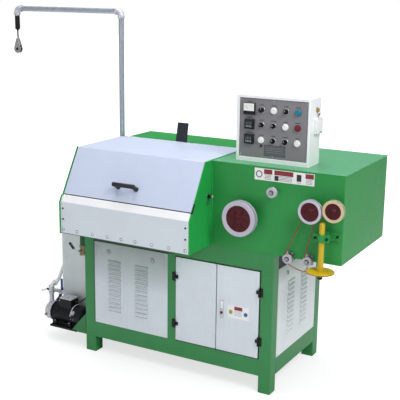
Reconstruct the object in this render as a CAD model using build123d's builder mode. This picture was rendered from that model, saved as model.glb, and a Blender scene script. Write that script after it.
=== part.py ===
from build123d import *
import os
from math import asin, atan2, cos, degrees, radians, sin, sqrt

os.makedirs("parts", exist_ok=True)

# A wire drawing machine: a steel cabinet on four posts carries a gear housing that overhangs to the
# right and a drawing chamber that stands out to the front under a folding lid. Sizes in millimetres.
# Places are measured from the left side, the front face and the floor of the cabinet frame.
# The model's origin is the middle of the front left foot.

# Fits
seat_gap = 0.1
clamp_gap = 0.3
running_gap = 0.05
thrust_gap = 1.0
overrun = 5.0

# Cabinet frame
frame_width = 1265.0
frame_depth = 700.0
frame_height = 820.0
post_size = 75.0
post_edge_radius = 6.0
middle_post_width = 50.0
middle_post_depth = 40.0
middle_post_left = 596.0
rail_depth = 60.0
bottom_rail_underside = 100.0
bottom_rail_height = 98.0
top_rail_height = 102.0

# Panels of the cabinet
panel_sheet = 2.0
panel_fold = 18.0
panel_corner_radius = 3.0
panel_gap = 0.5
floor_sheet = 4.0

# Louvres
louvre_width = 88.0
louvre_pitch = 27.6
louvre_reach = 8.0
louvre_height = 15.0
louvre_sheet = 1.6
louvre_head = 118.0
louvre_foot = 98.4
louvre_bulge_share = 0.75
front_louvre_places = (221.5, 413.5)
side_louvre_places = (249.0, 437.0)

# Doors
door_gap = 5.0
door_head_gap = 8.0
door_meeting_gap = 7.0

# Door hinges
hinge_height = 50.0
hinge_leaf = 17.0
hinge_leaf_thickness = 5.0
hinge_barrel_radius = 6.0
hinge_pin_radius = 3.0
hinge_foot_distance = 107.0
hinge_head_distance = 126.0
hinge_end_share = 0.28

# Door latch
latch_width = 24.0
latch_height = 110.0
latch_thickness = 4.0
latch_corner_radius = 6.0
latch_drop = 5.0
latch_inset = 34.5
latch_button_radius = 8.0
latch_button_reach = 3.0
latch_button_drop = 20.0

# Gear housing and rear housing
housing_right = 1647.0
housing_rear_inset = 20.0
housing_height = 475.0
housing_left = 45.0
housing_edge_radius = 5.0

# Drawing chamber
chamber_left = 26.0
chamber_right = 880.0
chamber_reach = 250.0
chamber_rear = 378.0
chamber_plate = 10.0
chamber_floor_sheet = 6.0
chamber_wall_height = 185.0
chamber_fold = 79.0
chamber_bend_radius = 10.0
cover_sheet = 3.0
cover_rise = 8.0
cover_inset = 5.0
apron_top_length = 48.0
drain_place = 61.0
drain_reach = 100.0
drain_pipe_radius = 13.0
drain_pipe_length = 106.0

# Lid
lid_gap = 5.0
lid_return = 22.0
lid_return_gap = 5.0
lid_rear_gap = 10.0

# Long hinge between the lid and the rear housing
lid_hinge_radius = 4.0
lid_hinge_pin_radius = 1.5
lid_hinge_drop = 1.5
lid_hinge_setback = 4.5
lid_hinge_end_gap = 26.0
lid_hinge_knuckles = 7
lid_hinge_leaf = 24.0
lid_hinge_sheet = 2.0
lid_hinge_notch = 4.6

# Lid handle
lid_handle_length = 119.0
lid_handle_left = 383.5
lid_handle_run = 208.0
lid_handle_reach = 48.0
lid_handle_radius = 10.5
lid_handle_bend = 19.0
lid_handle_foot_radius = 14.0
lid_handle_foot = 5.0

# Backstop for the open lid
backstop_left = 416.0
backstop_width = 74.0
backstop_height = 122.0
backstop_sheet = 5.0
backstop_lean = 26.0
backstop_foot = 34.0
backstop_setback = 3.0
backstop_toe = 28.0

# Control box
box_left = 973.0
box_setback = 93.0
box_width = 430.0
box_depth = 151.0
box_height = 362.0
box_edge_radius = 6.0
face_left_inset = 19.0
face_right_inset = 12.0
face_bottom_inset = 27.0
face_top_inset = 15.0
face_recess = 5.0
face_thickness = 3.0

# Instruments and buttons, centres measured from the lower left corner of the control box
instrument_edge = 3.0
instrument_window_share = 0.8
meter_place = 78.0
meter_level = 290.0
meter_width = 68.0
meter_height = 63.0
meter_reach = 14.0
timer_place = 81.0
timer_levels = (207.0, 126.0)
timer_width = 54.0
timer_height = 53.0
timer_reach = 18.0
button_place = 150.0
button_column_pitch = 70.3
button_level = 124.0
button_row_pitch = 81.5
button_radius = 15.5
button_reach = 13.0
button_collar_radius = 18.0
button_collar_reach = 4.0
button_edge = 2.0
selector_radius = 13.5
selector_base_reach = 9.0
selector_grip_width = 9.0
selector_grip_reach = 13.0
selector_taper = 4.0
knob_radius = 15.0
knob_reach = 20.0

# Fittings on the right side of the control box, measured from its lower front corner
side_button_place = 87.0
side_button_level = 298.0
side_button_radius = 14.0
side_button_reach = 12.0
side_switch_place = 106.0
side_switch_level = 266.0
side_switch_radius = 8.0
side_switch_reach = 6.0
side_switch_lever = 3.0
side_switch_length = 16.0
side_socket_place = 92.0
side_socket_level = 216.0
side_socket_width = 76.0
side_socket_height = 84.0
side_socket_reach = 22.0
side_socket_edge = 6.0

# Wheels on the front of the gear housing, their rises measured from the top of the frame
wheel_reach = 80.0
wheel_face_recess = 3.0
wheel_web = 10.0
wheel_seat = 10.0
wheel_rim_wall = 5.0
wheel_step = 6.0
wheel_boss_share = 0.42
wheel_boss_rise = 1.5
hub_wall = 12.0
stud_end_cover = 8.0

# Large take-off wheel
capstan_place = 1083.0
capstan_rise = 192.0
capstan_radius = 98.0
capstan_face_radius = 73.0
capstan_width = 38.0
capstan_flange = 6.0
capstan_groove = 8.0
capstan_stud_radius = 14.0
capstan_boss_radius = 36.0
capstan_boss_reach = 16.0

# Pair of rollers
left_roller_place = 1490.0
left_roller_rise = 285.0
left_roller_radius = 64.0
left_roller_face_radius = 50.0
right_roller_place = 1616.0
right_roller_rise = 304.0
right_roller_radius = 58.0
right_roller_face_radius = 43.0
roller_width = 27.0
roller_flange = 4.0
roller_groove = 6.0
roller_stud_radius = 9.0
roller_boss_radius = 22.0
roller_boss_reach = 12.0

# Guide pulley
guide_place = 1268.0
guide_rise = 357.0
guide_radius = 27.0
guide_reach = 70.0
guide_width = 22.0
guide_groove = 7.0
guide_flange = 4.0
small_stud_radius = 6.0
small_boss_radius = 12.0
groove_side_share = 0.25
stud_nut_radius = 9.5
stud_nut_height = 6.0

# Round drive belt from the left roller to two pulleys below the housing
belt_radius = 2.5
belt_setback = 38.0
belt_gap = 0.3
belt_hub_turn = 27.0
belt_hub_flange = 4.5
belt_left_place = 1359.0
belt_left_rise = 4.0
belt_left_turn = 21.5
belt_right_place = 1471.5
belt_right_rise = 6.0
belt_right_turn = 19.5
belt_pulley_radius = 25.0
belt_pulley_width = 16.0
belt_pulley_flange = 2.0
belt_bight_turn = 20.0
belt_bight_gap = 0.5
belt_bight_angle = 25.0
belt_slack_turn = 90.0
belt_slack_place = 1430.0
belt_slack_drop = 44.0
bracket_width = 44.0
bracket_height = 56.0
bracket_thickness = 8.0
bracket_rise = 32.0
bracket_corner = 6.0

# Guide stem with its disc, measured from the top of the frame
stem_place = 1556.0
stem_reach = 60.0
stem_radius = 15.0
stem_rise = 236.0
stem_dome = 5.0
stem_end_radius = 8.0
stem_end_length = 46.0
disc_radius = 73.0
disc_thickness = 8.0
disc_drop = 24.0
disc_edge = 2.5
disc_hub_radius = 22.0
disc_hub_height = 6.0

# Clamp of the stem
clamp_rise = 154.0
clamp_height = 40.0
clamp_wall = 10.0
clamp_ear = 42.0
clamp_cap = 20.0
clamp_arm = 18.0
clamp_foot_left = 1524.0
clamp_foot_right = 1640.0
clamp_foot_sheet = 12.0
clamp_corner = 8.0

# Overhead gantry, its rises measured from the top of the frame and its drops from the arm
pipe_radius = 16.0
gantry_place = 1.0
gantry_setback = 417.0
gantry_foot_rise = 80.0
arm_rise = 1246.0
drop_place = -826.0
elbow_turn = 27.0
elbow_radius = 19.0
elbow_collar_radius = 21.5
elbow_collar = 13.0
hanger_drop = 141.0
link_radius = 5.0
block_drop = 262.0
block_radius = 28.0
block_top_radius = 9.0
block_rise = 62.0
block_cheek = 4.0
block_gap = 16.0
sheave_radius = 23.0
sheave_width = 13.0
sheave_groove = 5.0
sheave_flange = 2.5
sheave_pin_radius = 5.0
lower_clamp_rise = 140.0
upper_clamp_rise = 400.0
pipe_clamp_height = 30.0
pipe_clamp_wall = 9.0

# Pump shelf
shelf_reach = 284.0
shelf_depth = 460.0
shelf_sheet = 6.0
gusset_length = 115.0
gusset_height = 135.0

# Pump motor, its axis along the shelf
pump_setback = 80.0
pump_level = 173.0
motor_radius = 60.0
motor_left = -296.0
motor_right = -104.0
fan_cover_radius = 66.0
fan_cover_length = 58.0
fan_cover_edge = 16.0
motor_foot_width = 30.0
motor_foot_spread = 124.0
motor_foot_height = 24.0
motor_foot_places = (-262.0, -150.0)
terminal_left = -236.0
terminal_length = 92.0
terminal_width = 78.0
terminal_top = 278.0
terminal_edge = 6.0

# Pump casing and its pipes
casing_radius = 58.0
casing_length = 46.0
casing_flange_radius = 63.0
casing_flange = 10.0
casing_edge = 14.0
suction_radius = 14.0
suction_length = 14.0
riser_radius = 12.0
riser_top = 318.0
riser_collar_radius = 17.0
riser_collar = 18.0
delivery_radius = 11.0
delivery_bend = 60.0
delivery_start = 27.0
delivery_run = 66.0
delivery_setback = 520.0
delivery_rise = 40.0

# Coolant tank, which stands on the shelf, and its brackets
tank_left = -310.0
tank_gap = 6.0
tank_front = 150.0
tank_depth = 300.0
tank_top_drop = 20.0
tank_edge_radius = 40.0
tank_foot_radius = 18.0
tank_bracket_height = 40.0

# Drain valve
valve_radius = 14.0
valve_end_radius = 17.0
valve_end_height = 14.0
valve_length = 62.0
valve_neck_radius = 8.0
valve_neck_reach = 24.0
valve_pin_radius = 4.0
lever_stub = 34.0
lever_stub_drop = 4.0
lever_length = 76.0
lever_width = 12.0
lever_thickness = 3.0
lever_boss_radius = 10.0
lever_play = 0.3
lever_rise = 40.0
lever_grip_length = 46.0
lever_grip_width = 15.0
lever_grip_thickness = 8.0

# Cable from the motor's terminal box to the cabinet, its points chosen by hand
cable_radius = 4.5
cable_bend_share = 0.45
gland_radius = 9.0
cable_route = (
    (-132.0, 80.0, 262.0),
    (-96.0, 80.0, 262.0),
    (-44.0, 118.0, 326.0),
    (-12.0, 118.0, 326.0),
)

# Derived places
left = -post_size / 2
front = -post_size / 2
opening_bottom = bottom_rail_underside + bottom_rail_height
opening_top = frame_height - top_rail_height
opening_middle = (opening_bottom + opening_top) / 2
middle_post_right = middle_post_left + middle_post_width
right_post_left = frame_width - post_size
housing_top = frame_height + housing_height
housing_depth = frame_depth - housing_rear_inset
chamber_bend_level = frame_height + chamber_wall_height
hinge_levels = (opening_bottom + hinge_foot_distance, opening_top - hinge_head_distance)
latch_level = opening_middle - latch_drop
capstan_level = frame_height + capstan_rise
left_roller_level = frame_height + left_roller_rise
right_roller_level = frame_height + right_roller_rise
guide_level = frame_height + guide_rise
belt_left_level = frame_height + belt_left_rise
belt_right_level = frame_height + belt_right_rise
belt_slack_level = frame_height - belt_slack_drop
stem_top = frame_height + stem_rise
disc_top = frame_height - disc_drop
clamp_level = frame_height + clamp_rise
gantry_foot = frame_height + gantry_foot_rise
arm_level = frame_height + arm_rise
drop_foot = arm_level - hanger_drop
block_level = arm_level - block_drop
pipe_clamp_levels = (frame_height + lower_clamp_rise, frame_height + upper_clamp_rise)
delivery_level = frame_height + delivery_rise
shelf_top = bottom_rail_underside + shelf_sheet
tank_bottom = shelf_top
tank_top = frame_height - tank_top_drop
cover_top = housing_top + cover_rise
cover_left = chamber_left + cover_inset
cover_right = chamber_right - cover_inset


def facing_front(setback):
    """Upright plane at a distance behind the frame's front, drawn in (from left, height)."""
    return Plane(origin=(left, front + setback, 0), x_dir=(1, 0, 0), z_dir=(0, -1, 0))


def facing_rear(setback):
    """Upright plane that looks backwards, drawn in (minus from left, height)."""
    return Plane(origin=(left, front + setback, 0), x_dir=(-1, 0, 0), z_dir=(0, 1, 0))


def facing_right(place):
    """Upright plane at a distance from the frame's left side, drawn in (from front, height)."""
    return Plane(origin=(left + place, front, 0), x_dir=(0, 1, 0), z_dir=(1, 0, 0))


def facing_left(place):
    """Upright plane that looks to the left, drawn in (minus from front, height)."""
    return Plane(origin=(left + place, front, 0), x_dir=(0, -1, 0), z_dir=(-1, 0, 0))


def facing_up(level):
    """Level plane at a height, drawn in (from left, from front)."""
    return Plane(origin=(left, front, level), x_dir=(1, 0, 0), z_dir=(0, 0, 1))


def front_axis(place, level):
    """Plane whose second axis runs straight back through a wheel on the front."""
    return Plane(origin=(left + place, front, level), x_dir=(1, 0, 0), z_dir=(0, 0, 1))


def upright_axis(place, setback):
    """Plane whose second axis runs up from the floor."""
    return Plane(origin=(left + place, front + setback, 0), x_dir=(1, 0, 0), z_dir=(0, -1, 0))


def side_axis(setback, level):
    """Plane whose second axis runs to the right, along the machine."""
    return Plane(origin=(left, front + setback, level), x_dir=(0, 0, 1), z_dir=(0, 1, 0))


def turned(axis_plane, outline):
    """Turned piece round a plane's second axis, its outline in (radius, distance along the axis)."""
    with BuildPart() as piece:
        with BuildSketch(axis_plane):
            with BuildLine():
                Polyline(*outline, close=True)
            make_face()
        revolve(axis=Axis(axis_plane.origin, axis_plane.y_dir))
    return piece.part


def write(part, label):
    part.label = label
    export_step(part, f"parts/{label}.step")


# Posts: four at the corners and one in the middle of the front and of the rear
with BuildPart() as frame_posts:
    with BuildSketch(facing_up(0)):
        with Locations((frame_width / 2, frame_depth / 2)):
            with GridLocations(frame_width - post_size, frame_depth - post_size, 2, 2):
                RectangleRounded(post_size, post_size, post_edge_radius)
    extrude(amount=frame_height)
    with BuildSketch(facing_up(opening_bottom)):
        with Locations((middle_post_left + middle_post_width / 2, frame_depth / 2)):
            with GridLocations(0, frame_depth - middle_post_depth, 1, 2):
                Rectangle(middle_post_width, middle_post_depth)
    extrude(amount=opening_top - opening_bottom)
write(frame_posts.part, "frame_posts")

# Rails between the posts, one ring below the panels and one above them
with BuildPart() as frame_rails:
    for level, height in ((bottom_rail_underside, bottom_rail_height), (opening_top, top_rail_height)):
        with BuildSketch(facing_up(level)):
            with Locations((frame_width / 2, frame_depth / 2)):
                with GridLocations(0, frame_depth - rail_depth, 1, 2):
                    Rectangle(frame_width - 2 * post_size, rail_depth)
                with GridLocations(frame_width - rail_depth, 0, 2, 1):
                    Rectangle(rail_depth, frame_depth - 2 * post_size)
        extrude(amount=height)
write(frame_rails.part, "frame_rails")

# Cabinet floor between the rails, level with their top
with BuildPart() as cabinet_floor:
    with BuildSketch(facing_up(opening_bottom)):
        with Locations((frame_width / 2, frame_depth / 2)):
            Rectangle(frame_width - 2 * rail_depth, frame_depth - 2 * rail_depth)
            with GridLocations(frame_width, frame_depth, 2, 2):
                Rectangle(2 * post_size, 2 * post_size, mode=Mode.SUBTRACT)
    extrude(amount=-floor_sheet)
write(cabinet_floor.part, "cabinet_floor")


def folded_panel(plane, place, level, width, height):
    """Sheet panel on a plane, its edges folded back into the cabinet."""
    with BuildPart() as panel:
        with BuildSketch(plane):
            with Locations((place, level)):
                RectangleRounded(width, height, panel_corner_radius)
        extrude(amount=-panel_fold)
        back = panel.faces().sort_by(Axis(plane.origin, plane.z_dir))[0]
        offset(amount=-panel_sheet, openings=back)
    return panel.part


def louvre_body(plane, place, level, inset, depth):
    """Body of a pressed louvre: inset makes the space inside it, depth reaches into the sheet."""
    side = Plane(
        origin=plane.from_local_coords((place - louvre_width / 2 + inset, level)),
        x_dir=plane.z_dir,
        z_dir=-plane.x_dir,
    )
    reach = louvre_reach - inset
    height = louvre_height - 2 * inset
    with BuildPart() as body:
        with BuildSketch(side):
            with BuildLine():
                Polyline((0, height), (-depth, height), (-depth, 0), (reach, 0))
                ThreePointArc(
                    (reach, 0),
                    (reach * louvre_bulge_share, height * louvre_bulge_share**2),
                    (0, height),
                )
            make_face()
        extrude(amount=-(louvre_width - 2 * inset))
    return body.part


def louvred_panel(plane, place, width, columns):
    """Folded panel with columns of louvres, hoods over slots that are open below."""
    louvre_span = opening_top - louvre_head - opening_bottom - louvre_foot
    gaps = round(louvre_span / louvre_pitch)
    spots = [
        (column, opening_top - louvre_head - row * louvre_span / gaps)
        for column in columns
        for row in range(gaps + 1)
    ]
    with BuildPart() as panel:
        add(folded_panel(plane, place, opening_middle, width, panel_height))
        add([louvre_body(plane, *spot, 0, panel_sheet / 2) for spot in spots])
        add(
            [louvre_body(plane, *spot, louvre_sheet, panel_sheet + overrun) for spot in spots],
            mode=Mode.SUBTRACT,
        )
    return panel.part


# Panels of the cabinet: louvred at the front and on the right, plain on the left and at the rear
panel_height = opening_top - opening_bottom - 2 * panel_gap
front_panel_width = middle_post_left - post_size - 2 * panel_gap
front_panel_place = (post_size + middle_post_left) / 2
side_panel_width = frame_depth - 2 * post_size - 2 * panel_gap
rear_panel_width = right_post_left - middle_post_right - 2 * panel_gap
rear_panel_place = (middle_post_right + right_post_left) / 2
write(
    louvred_panel(facing_front(0), front_panel_place, front_panel_width, front_louvre_places),
    "front_panel",
)
write(
    louvred_panel(facing_right(frame_width), frame_depth / 2, side_panel_width, side_louvre_places),
    "right_panel",
)
with BuildPart() as plain_panels:
    add(folded_panel(facing_left(0), -frame_depth / 2, opening_middle, side_panel_width, panel_height))
    for place, width in (
        (front_panel_place, front_panel_width),
        (rear_panel_place, rear_panel_width),
    ):
        add(folded_panel(facing_rear(frame_depth), -place, opening_middle, width, panel_height))
write(plain_panels.part, "plain_panels")

# Double doors
door_width = (right_post_left - middle_post_right - 2 * door_gap - door_meeting_gap) / 2
door_bottom = opening_bottom + door_gap
door_height = opening_top - door_head_gap - door_bottom
left_door_place = middle_post_right + door_gap + door_width / 2
right_door_place = right_post_left - door_gap - door_width / 2
for label, place in (("left_door", left_door_place), ("right_door", right_door_place)):
    door = folded_panel(facing_front(0), place, door_bottom + door_height / 2, door_width, door_height)
    write(door, label)

# Door hinges: their axes stand in front of the gap beside each post
hinge_reach = hinge_leaf_thickness + hinge_barrel_radius - hinge_pin_radius
hinge_sides = ((middle_post_right + door_gap / 2, 1), (right_post_left - door_gap / 2, -1))
hinge_end = hinge_height * hinge_end_share
hinge_strip_start = hinge_barrel_radius + thrust_gap
hinge_leaf_end = hinge_leaf + door_gap / 2


def hinge_strip(place, side, start, foot, height):
    """Flat of a hinge leaf, from a distance beside the axis to the leaf's end."""
    with BuildPart() as strip:
        with BuildSketch(facing_up(foot)):
            with Locations((place + side * (start + hinge_leaf_end) / 2, -hinge_leaf_thickness / 2)):
                Rectangle(hinge_leaf_end - start, hinge_leaf_thickness)
        extrude(amount=height)
    return strip.part


def hinge_round(place, foot, radius, height):
    """Round body on a door hinge's axis."""
    with BuildPart() as body:
        with BuildSketch(facing_up(foot)):
            with Locations((place, -hinge_reach)):
                Circle(radius)
        extrude(amount=height)
    return body.part


# Outer knuckles with their pins, on the posts
with BuildPart() as post_hinges:
    for place, side in hinge_sides:
        for level in hinge_levels:
            foot = level - hinge_height / 2
            for knuckle_foot in (foot, foot + hinge_height - hinge_end):
                add(hinge_strip(place, -side, 0, knuckle_foot, hinge_end))
                add(hinge_round(place, knuckle_foot, hinge_barrel_radius, hinge_end))
            add(hinge_strip(place, -side, hinge_strip_start, foot, hinge_height))
            add(hinge_round(place, foot, hinge_pin_radius, hinge_height))
write(post_hinges.part, "post_hinges")

# Middle knuckles, on the doors
for label, (place, side) in zip(("left_door_hinges", "right_door_hinges"), hinge_sides):
    with BuildPart() as door_hinges:
        for level in hinge_levels:
            foot = level - hinge_height / 2 + hinge_end + thrust_gap
            height = hinge_height - 2 * (hinge_end + thrust_gap)
            bore = hinge_pin_radius + running_gap
            add(hinge_strip(place, side, 0, foot, height))
            add(hinge_round(place, foot, hinge_barrel_radius, height))
            add(hinge_round(place, foot, bore, height), mode=Mode.SUBTRACT)
    write(door_hinges.part, label)

# Latch plate with its push button, on the right door
latch_place = right_door_place - door_width / 2 + latch_inset
with BuildPart() as door_latch:
    with BuildSketch(facing_front(0)):
        with Locations((latch_place, latch_level)):
            RectangleRounded(latch_width, latch_height, latch_corner_radius)
    extrude(amount=latch_thickness)
    with BuildSketch(facing_front(-latch_thickness)):
        with Locations((latch_place, latch_level - latch_button_drop)):
            Circle(latch_button_radius)
    extrude(amount=latch_button_reach)
write(door_latch.part, "door_latch")

# Gear housing, a closed body over the right of the cabinet and beyond it
with BuildPart() as gear_housing:
    with BuildSketch(facing_up(frame_height)):
        with Locations((chamber_right, 0)):
            Rectangle(housing_right - chamber_right, housing_depth, align=(Align.MIN, Align.MIN))
    extrude(amount=housing_height)
    fillet(gear_housing.edges().filter_by(Axis.Z).group_by(Axis.X)[-1], housing_edge_radius)
write(gear_housing.part, "gear_housing")

# Rear housing, a closed body behind the drawing chamber
with BuildPart() as rear_housing:
    with BuildSketch(facing_up(frame_height)):
        with Locations((housing_left, chamber_rear)):
            Rectangle(
                chamber_right - housing_left,
                housing_depth - chamber_rear,
                align=(Align.MIN, Align.MIN),
            )
    extrude(amount=housing_height)
write(rear_housing.part, "rear_housing")

# The sloping front of the chamber: its length and its direction downwards
slope_run = chamber_reach - chamber_fold
slope_drop = cover_top - chamber_bend_level
slope_length = sqrt(slope_run**2 + slope_drop**2)
slope_cos = slope_run / slope_length
slope_sin = slope_drop / slope_length


def slope_point(run, depth):
    """Point at a distance down the slope from the fold, and below the covers' outer face."""
    return (
        -chamber_fold - run * slope_cos + depth * slope_sin,
        cover_top - run * slope_sin - depth * slope_cos,
    )


def fold_point(depth):
    """Corner of the fold between the flat top and the slope, below the outer face."""
    return (-chamber_fold + depth * (1 - slope_cos) / slope_sin, cover_top - depth)


# Chamber tub: two end plates on a floor sheet, with the drain stub below
plate_front = -chamber_reach + cover_sheet
plate_bend_level = chamber_bend_level - cover_sheet * (1 - slope_sin) / slope_cos
with BuildPart() as chamber_tub:
    for place in (chamber_left, chamber_right - chamber_plate):
        with BuildSketch(facing_right(place)):
            with BuildLine():
                FilletPolyline(
                    (plate_front, frame_height),
                    (plate_front, plate_bend_level),
                    fold_point(cover_sheet),
                    (chamber_rear, cover_top - cover_sheet),
                    radius=chamber_bend_radius,
                )
                Polyline(
                    (chamber_rear, cover_top - cover_sheet),
                    (chamber_rear, frame_height),
                    (plate_front, frame_height),
                )
            make_face()
        extrude(amount=chamber_plate)
    with BuildSketch(facing_right(chamber_left)):
        with Locations((chamber_rear, frame_height)):
            Rectangle(chamber_rear - plate_front, chamber_floor_sheet, align=(Align.MAX, Align.MIN))
    extrude(amount=chamber_right - chamber_left)
    with BuildSketch(facing_up(frame_height + chamber_floor_sheet)):
        with Locations((drain_place, -drain_reach)):
            Circle(drain_pipe_radius)
    extrude(amount=-chamber_floor_sheet - drain_pipe_length)
write(chamber_tub.part, "chamber_tub")

# Apron: bolted sheet on the lower front of the chamber, bent back at its top
with BuildPart() as apron:
    with BuildSketch(facing_right(cover_left)):
        with BuildLine():
            FilletPolyline(
                (-chamber_reach, frame_height + cover_sheet),
                (-chamber_reach, chamber_bend_level),
                slope_point(slope_length - apron_top_length, 0),
                radius=chamber_bend_radius,
            )
            offset(amount=cover_sheet, side=Side.RIGHT)
        make_face()
    extrude(amount=cover_right - cover_left)
write(apron.part, "apron")

# Lid: a sheet folded over the chamber, with a return inside each end and a lip at its lower edge
lid_slope = slope_length - apron_top_length - lid_gap
lid_rear = chamber_rear - lid_rear_gap
return_rear = lid_rear - lid_hinge_leaf - lid_return
return_inset = chamber_plate - cover_inset + lid_return_gap
with BuildPart() as lid:
    with BuildSketch(facing_right(cover_left)):
        with BuildLine():
            FilletPolyline(
                (lid_rear, cover_top),
                (-chamber_fold, cover_top),
                slope_point(lid_slope, 0),
                radius=chamber_bend_radius,
            )
            offset(amount=cover_sheet, side=Side.LEFT)
        make_face()
    extrude(amount=cover_right - cover_left)
    for place in (cover_left + return_inset, cover_right - return_inset - cover_sheet):
        with BuildSketch(facing_right(place)):
            with BuildLine():
                Polyline(
                    (return_rear, cover_top - cover_sheet / 2),
                    fold_point(cover_sheet / 2),
                    slope_point(lid_slope, cover_sheet / 2),
                    slope_point(lid_slope, lid_return),
                    fold_point(lid_return),
                    (return_rear, cover_top - lid_return),
                    close=True,
                )
            make_face()
        extrude(amount=cover_sheet)
    with BuildSketch(facing_right(cover_left + return_inset)):
        with BuildLine():
            Polyline(
                slope_point(lid_slope, cover_sheet / 2),
                slope_point(lid_slope, lid_return),
                slope_point(lid_slope - cover_sheet, lid_return),
                slope_point(lid_slope - cover_sheet, cover_sheet / 2),
                close=True,
            )
        make_face()
    extrude(amount=cover_right - cover_left - 2 * return_inset)
write(lid.part, "lid")

# Long hinge in the seam between the lid and the rear housing
lid_axis_setback = chamber_rear - lid_hinge_setback
lid_axis_level = cover_top - lid_hinge_drop
lid_hinge_left = chamber_left + lid_hinge_end_gap
lid_hinge_length = chamber_right - chamber_left - 2 * lid_hinge_end_gap
knuckle_pitch = lid_hinge_length / lid_hinge_knuckles


def lid_hinge_round(start, length, radius):
    """Round body on the lid's axis."""
    with BuildPart() as body:
        with BuildSketch(facing_right(start)):
            with Locations((lid_axis_setback, lid_axis_level)):
                Circle(radius)
        extrude(amount=length)
    return body.part


def lid_hinge_flat(start, length, setback, level, depth, height):
    """Flat of a hinge leaf whose rear upper edge lies at a setback and a level."""
    with BuildPart() as flat:
        with BuildSketch(facing_right(start)):
            with Locations((setback, level)):
                Rectangle(depth, height, align=(Align.MAX, Align.MAX))
        extrude(amount=length)
    return flat.part


leaf_head = lid_axis_level - lid_hinge_notch
with BuildPart() as lid_hinge_base:
    add(
        lid_hinge_flat(
            lid_hinge_left, lid_hinge_length, chamber_rear, leaf_head, lid_hinge_sheet, lid_hinge_leaf
        )
    )
    for number in range(0, lid_hinge_knuckles, 2):
        start = lid_hinge_left + number * knuckle_pitch
        height = lid_axis_level - leaf_head + lid_hinge_leaf / 2
        add(lid_hinge_round(start, knuckle_pitch, lid_hinge_radius))
        add(
            lid_hinge_flat(start, knuckle_pitch, chamber_rear, lid_axis_level, lid_hinge_sheet, height)
        )
    add(lid_hinge_round(lid_hinge_left, lid_hinge_length, lid_hinge_pin_radius))
write(lid_hinge_base.part, "lid_hinge_base")

leaf_top = cover_top - cover_sheet
with BuildPart() as lid_hinge_leaves:
    for number in range(1, lid_hinge_knuckles, 2):
        start = lid_hinge_left + number * knuckle_pitch + thrust_gap
        length = knuckle_pitch - 2 * thrust_gap
        bore = lid_hinge_pin_radius + running_gap
        add(lid_hinge_round(start, length, lid_hinge_radius))
        add(
            lid_hinge_flat(
                start, length, lid_axis_setback, leaf_top, lid_hinge_leaf, lid_hinge_sheet
            )
        )
        add(lid_hinge_round(start, length, bore), mode=Mode.SUBTRACT)
write(lid_hinge_leaves.part, "lid_hinge_leaves")

# Handle on the lid: a bent bar on two round feet
slope_plane = Plane(
    origin=facing_right(lid_handle_left).from_local_coords(slope_point(lid_handle_run, 0)),
    x_dir=(1, 0, 0),
    z_dir=(0, -slope_sin, slope_cos),
)
handle_plane = Plane(origin=slope_plane.origin, x_dir=(1, 0, 0), z_dir=-slope_plane.y_dir)
with BuildPart() as lid_handle:
    with BuildLine(handle_plane) as handle_path:
        FilletPolyline(
            (0, 0),
            (0, lid_handle_reach),
            (lid_handle_length, lid_handle_reach),
            (lid_handle_length, 0),
            radius=lid_handle_bend,
        )
    with BuildSketch(slope_plane):
        Circle(lid_handle_radius)
    sweep(path=handle_path.wire())
    with BuildSketch(slope_plane):
        with Locations((0, 0), (lid_handle_length, 0)):
            Circle(lid_handle_foot_radius)
    extrude(amount=lid_handle_foot)
write(lid_handle.part, "lid_handle")

# Backstop that the open lid leans on: a leaning plate with a foot on the rear housing
stop_front = chamber_rear + backstop_setback
with BuildPart() as lid_backstop:
    with BuildSketch(facing_right(backstop_left)):
        with BuildLine():
            Polyline(
                (stop_front, housing_top),
                (stop_front + backstop_lean, housing_top + backstop_height),
                (stop_front + backstop_lean + backstop_sheet, housing_top + backstop_height),
                (stop_front + 2 * backstop_sheet, housing_top + backstop_sheet),
                (stop_front + backstop_foot, housing_top + backstop_sheet),
                (stop_front + backstop_foot, housing_top),
                close=True,
            )
        make_face()
    extrude(amount=backstop_width)
    with BuildSketch(facing_up(housing_top)):
        with Locations((backstop_left + backstop_width, stop_front)):
            Rectangle(backstop_toe, backstop_foot, align=(Align.MIN, Align.MIN))
    extrude(amount=backstop_sheet)
write(lid_backstop.part, "lid_backstop")

# Control box with a shallow recess for its face plate
face_width = box_width - face_left_inset - face_right_inset
face_height = box_height - face_bottom_inset - face_top_inset
face_middle = (
    box_left + face_left_inset + face_width / 2,
    housing_top + face_bottom_inset + face_height / 2,
)
face_setback = box_setback + face_recess
with BuildPart() as control_box:
    with BuildSketch(facing_front(box_setback + box_depth)):
        with Locations((box_left, housing_top)):
            Rectangle(box_width, box_height, align=(Align.MIN, Align.MIN))
    extrude(amount=box_depth)
    fillet(control_box.edges().filter_by(Axis.Z), box_edge_radius)
    with BuildSketch(facing_front(box_setback)):
        with Locations(face_middle):
            Rectangle(face_width, face_height)
    extrude(amount=-face_recess - face_thickness, mode=Mode.SUBTRACT)
write(control_box.part, "control_box")

with BuildPart() as control_face:
    with BuildSketch(facing_front(face_setback)):
        with Locations(face_middle):
            Rectangle(face_width - 2 * seat_gap, face_height - 2 * seat_gap)
    extrude(amount=-face_thickness)
write(control_face.part, "control_face")


def instrument(place, level, width, height, reach):
    """Square instrument with a sunken window."""
    with BuildPart() as case:
        with BuildSketch(facing_front(face_setback)):
            with Locations((box_left + place, housing_top + level)):
                Rectangle(width, height)
        extrude(amount=reach)
        chamfer(case.faces().sort_by(Axis.Y)[0].edges(), instrument_edge)
        with BuildSketch(facing_front(face_setback - reach)):
            with Locations((box_left + place, housing_top + level)):
                Rectangle(
                    (width - 2 * instrument_edge) * instrument_window_share,
                    (height - 2 * instrument_edge) * instrument_window_share,
                )
        extrude(amount=-instrument_edge, mode=Mode.SUBTRACT)
    return case.part


with BuildPart() as panel_instruments:
    add(instrument(meter_place, meter_level, meter_width, meter_height, meter_reach))
    for level in timer_levels:
        add(instrument(timer_place, level, timer_width, timer_height, timer_reach))
write(panel_instruments.part, "panel_instruments")


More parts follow.
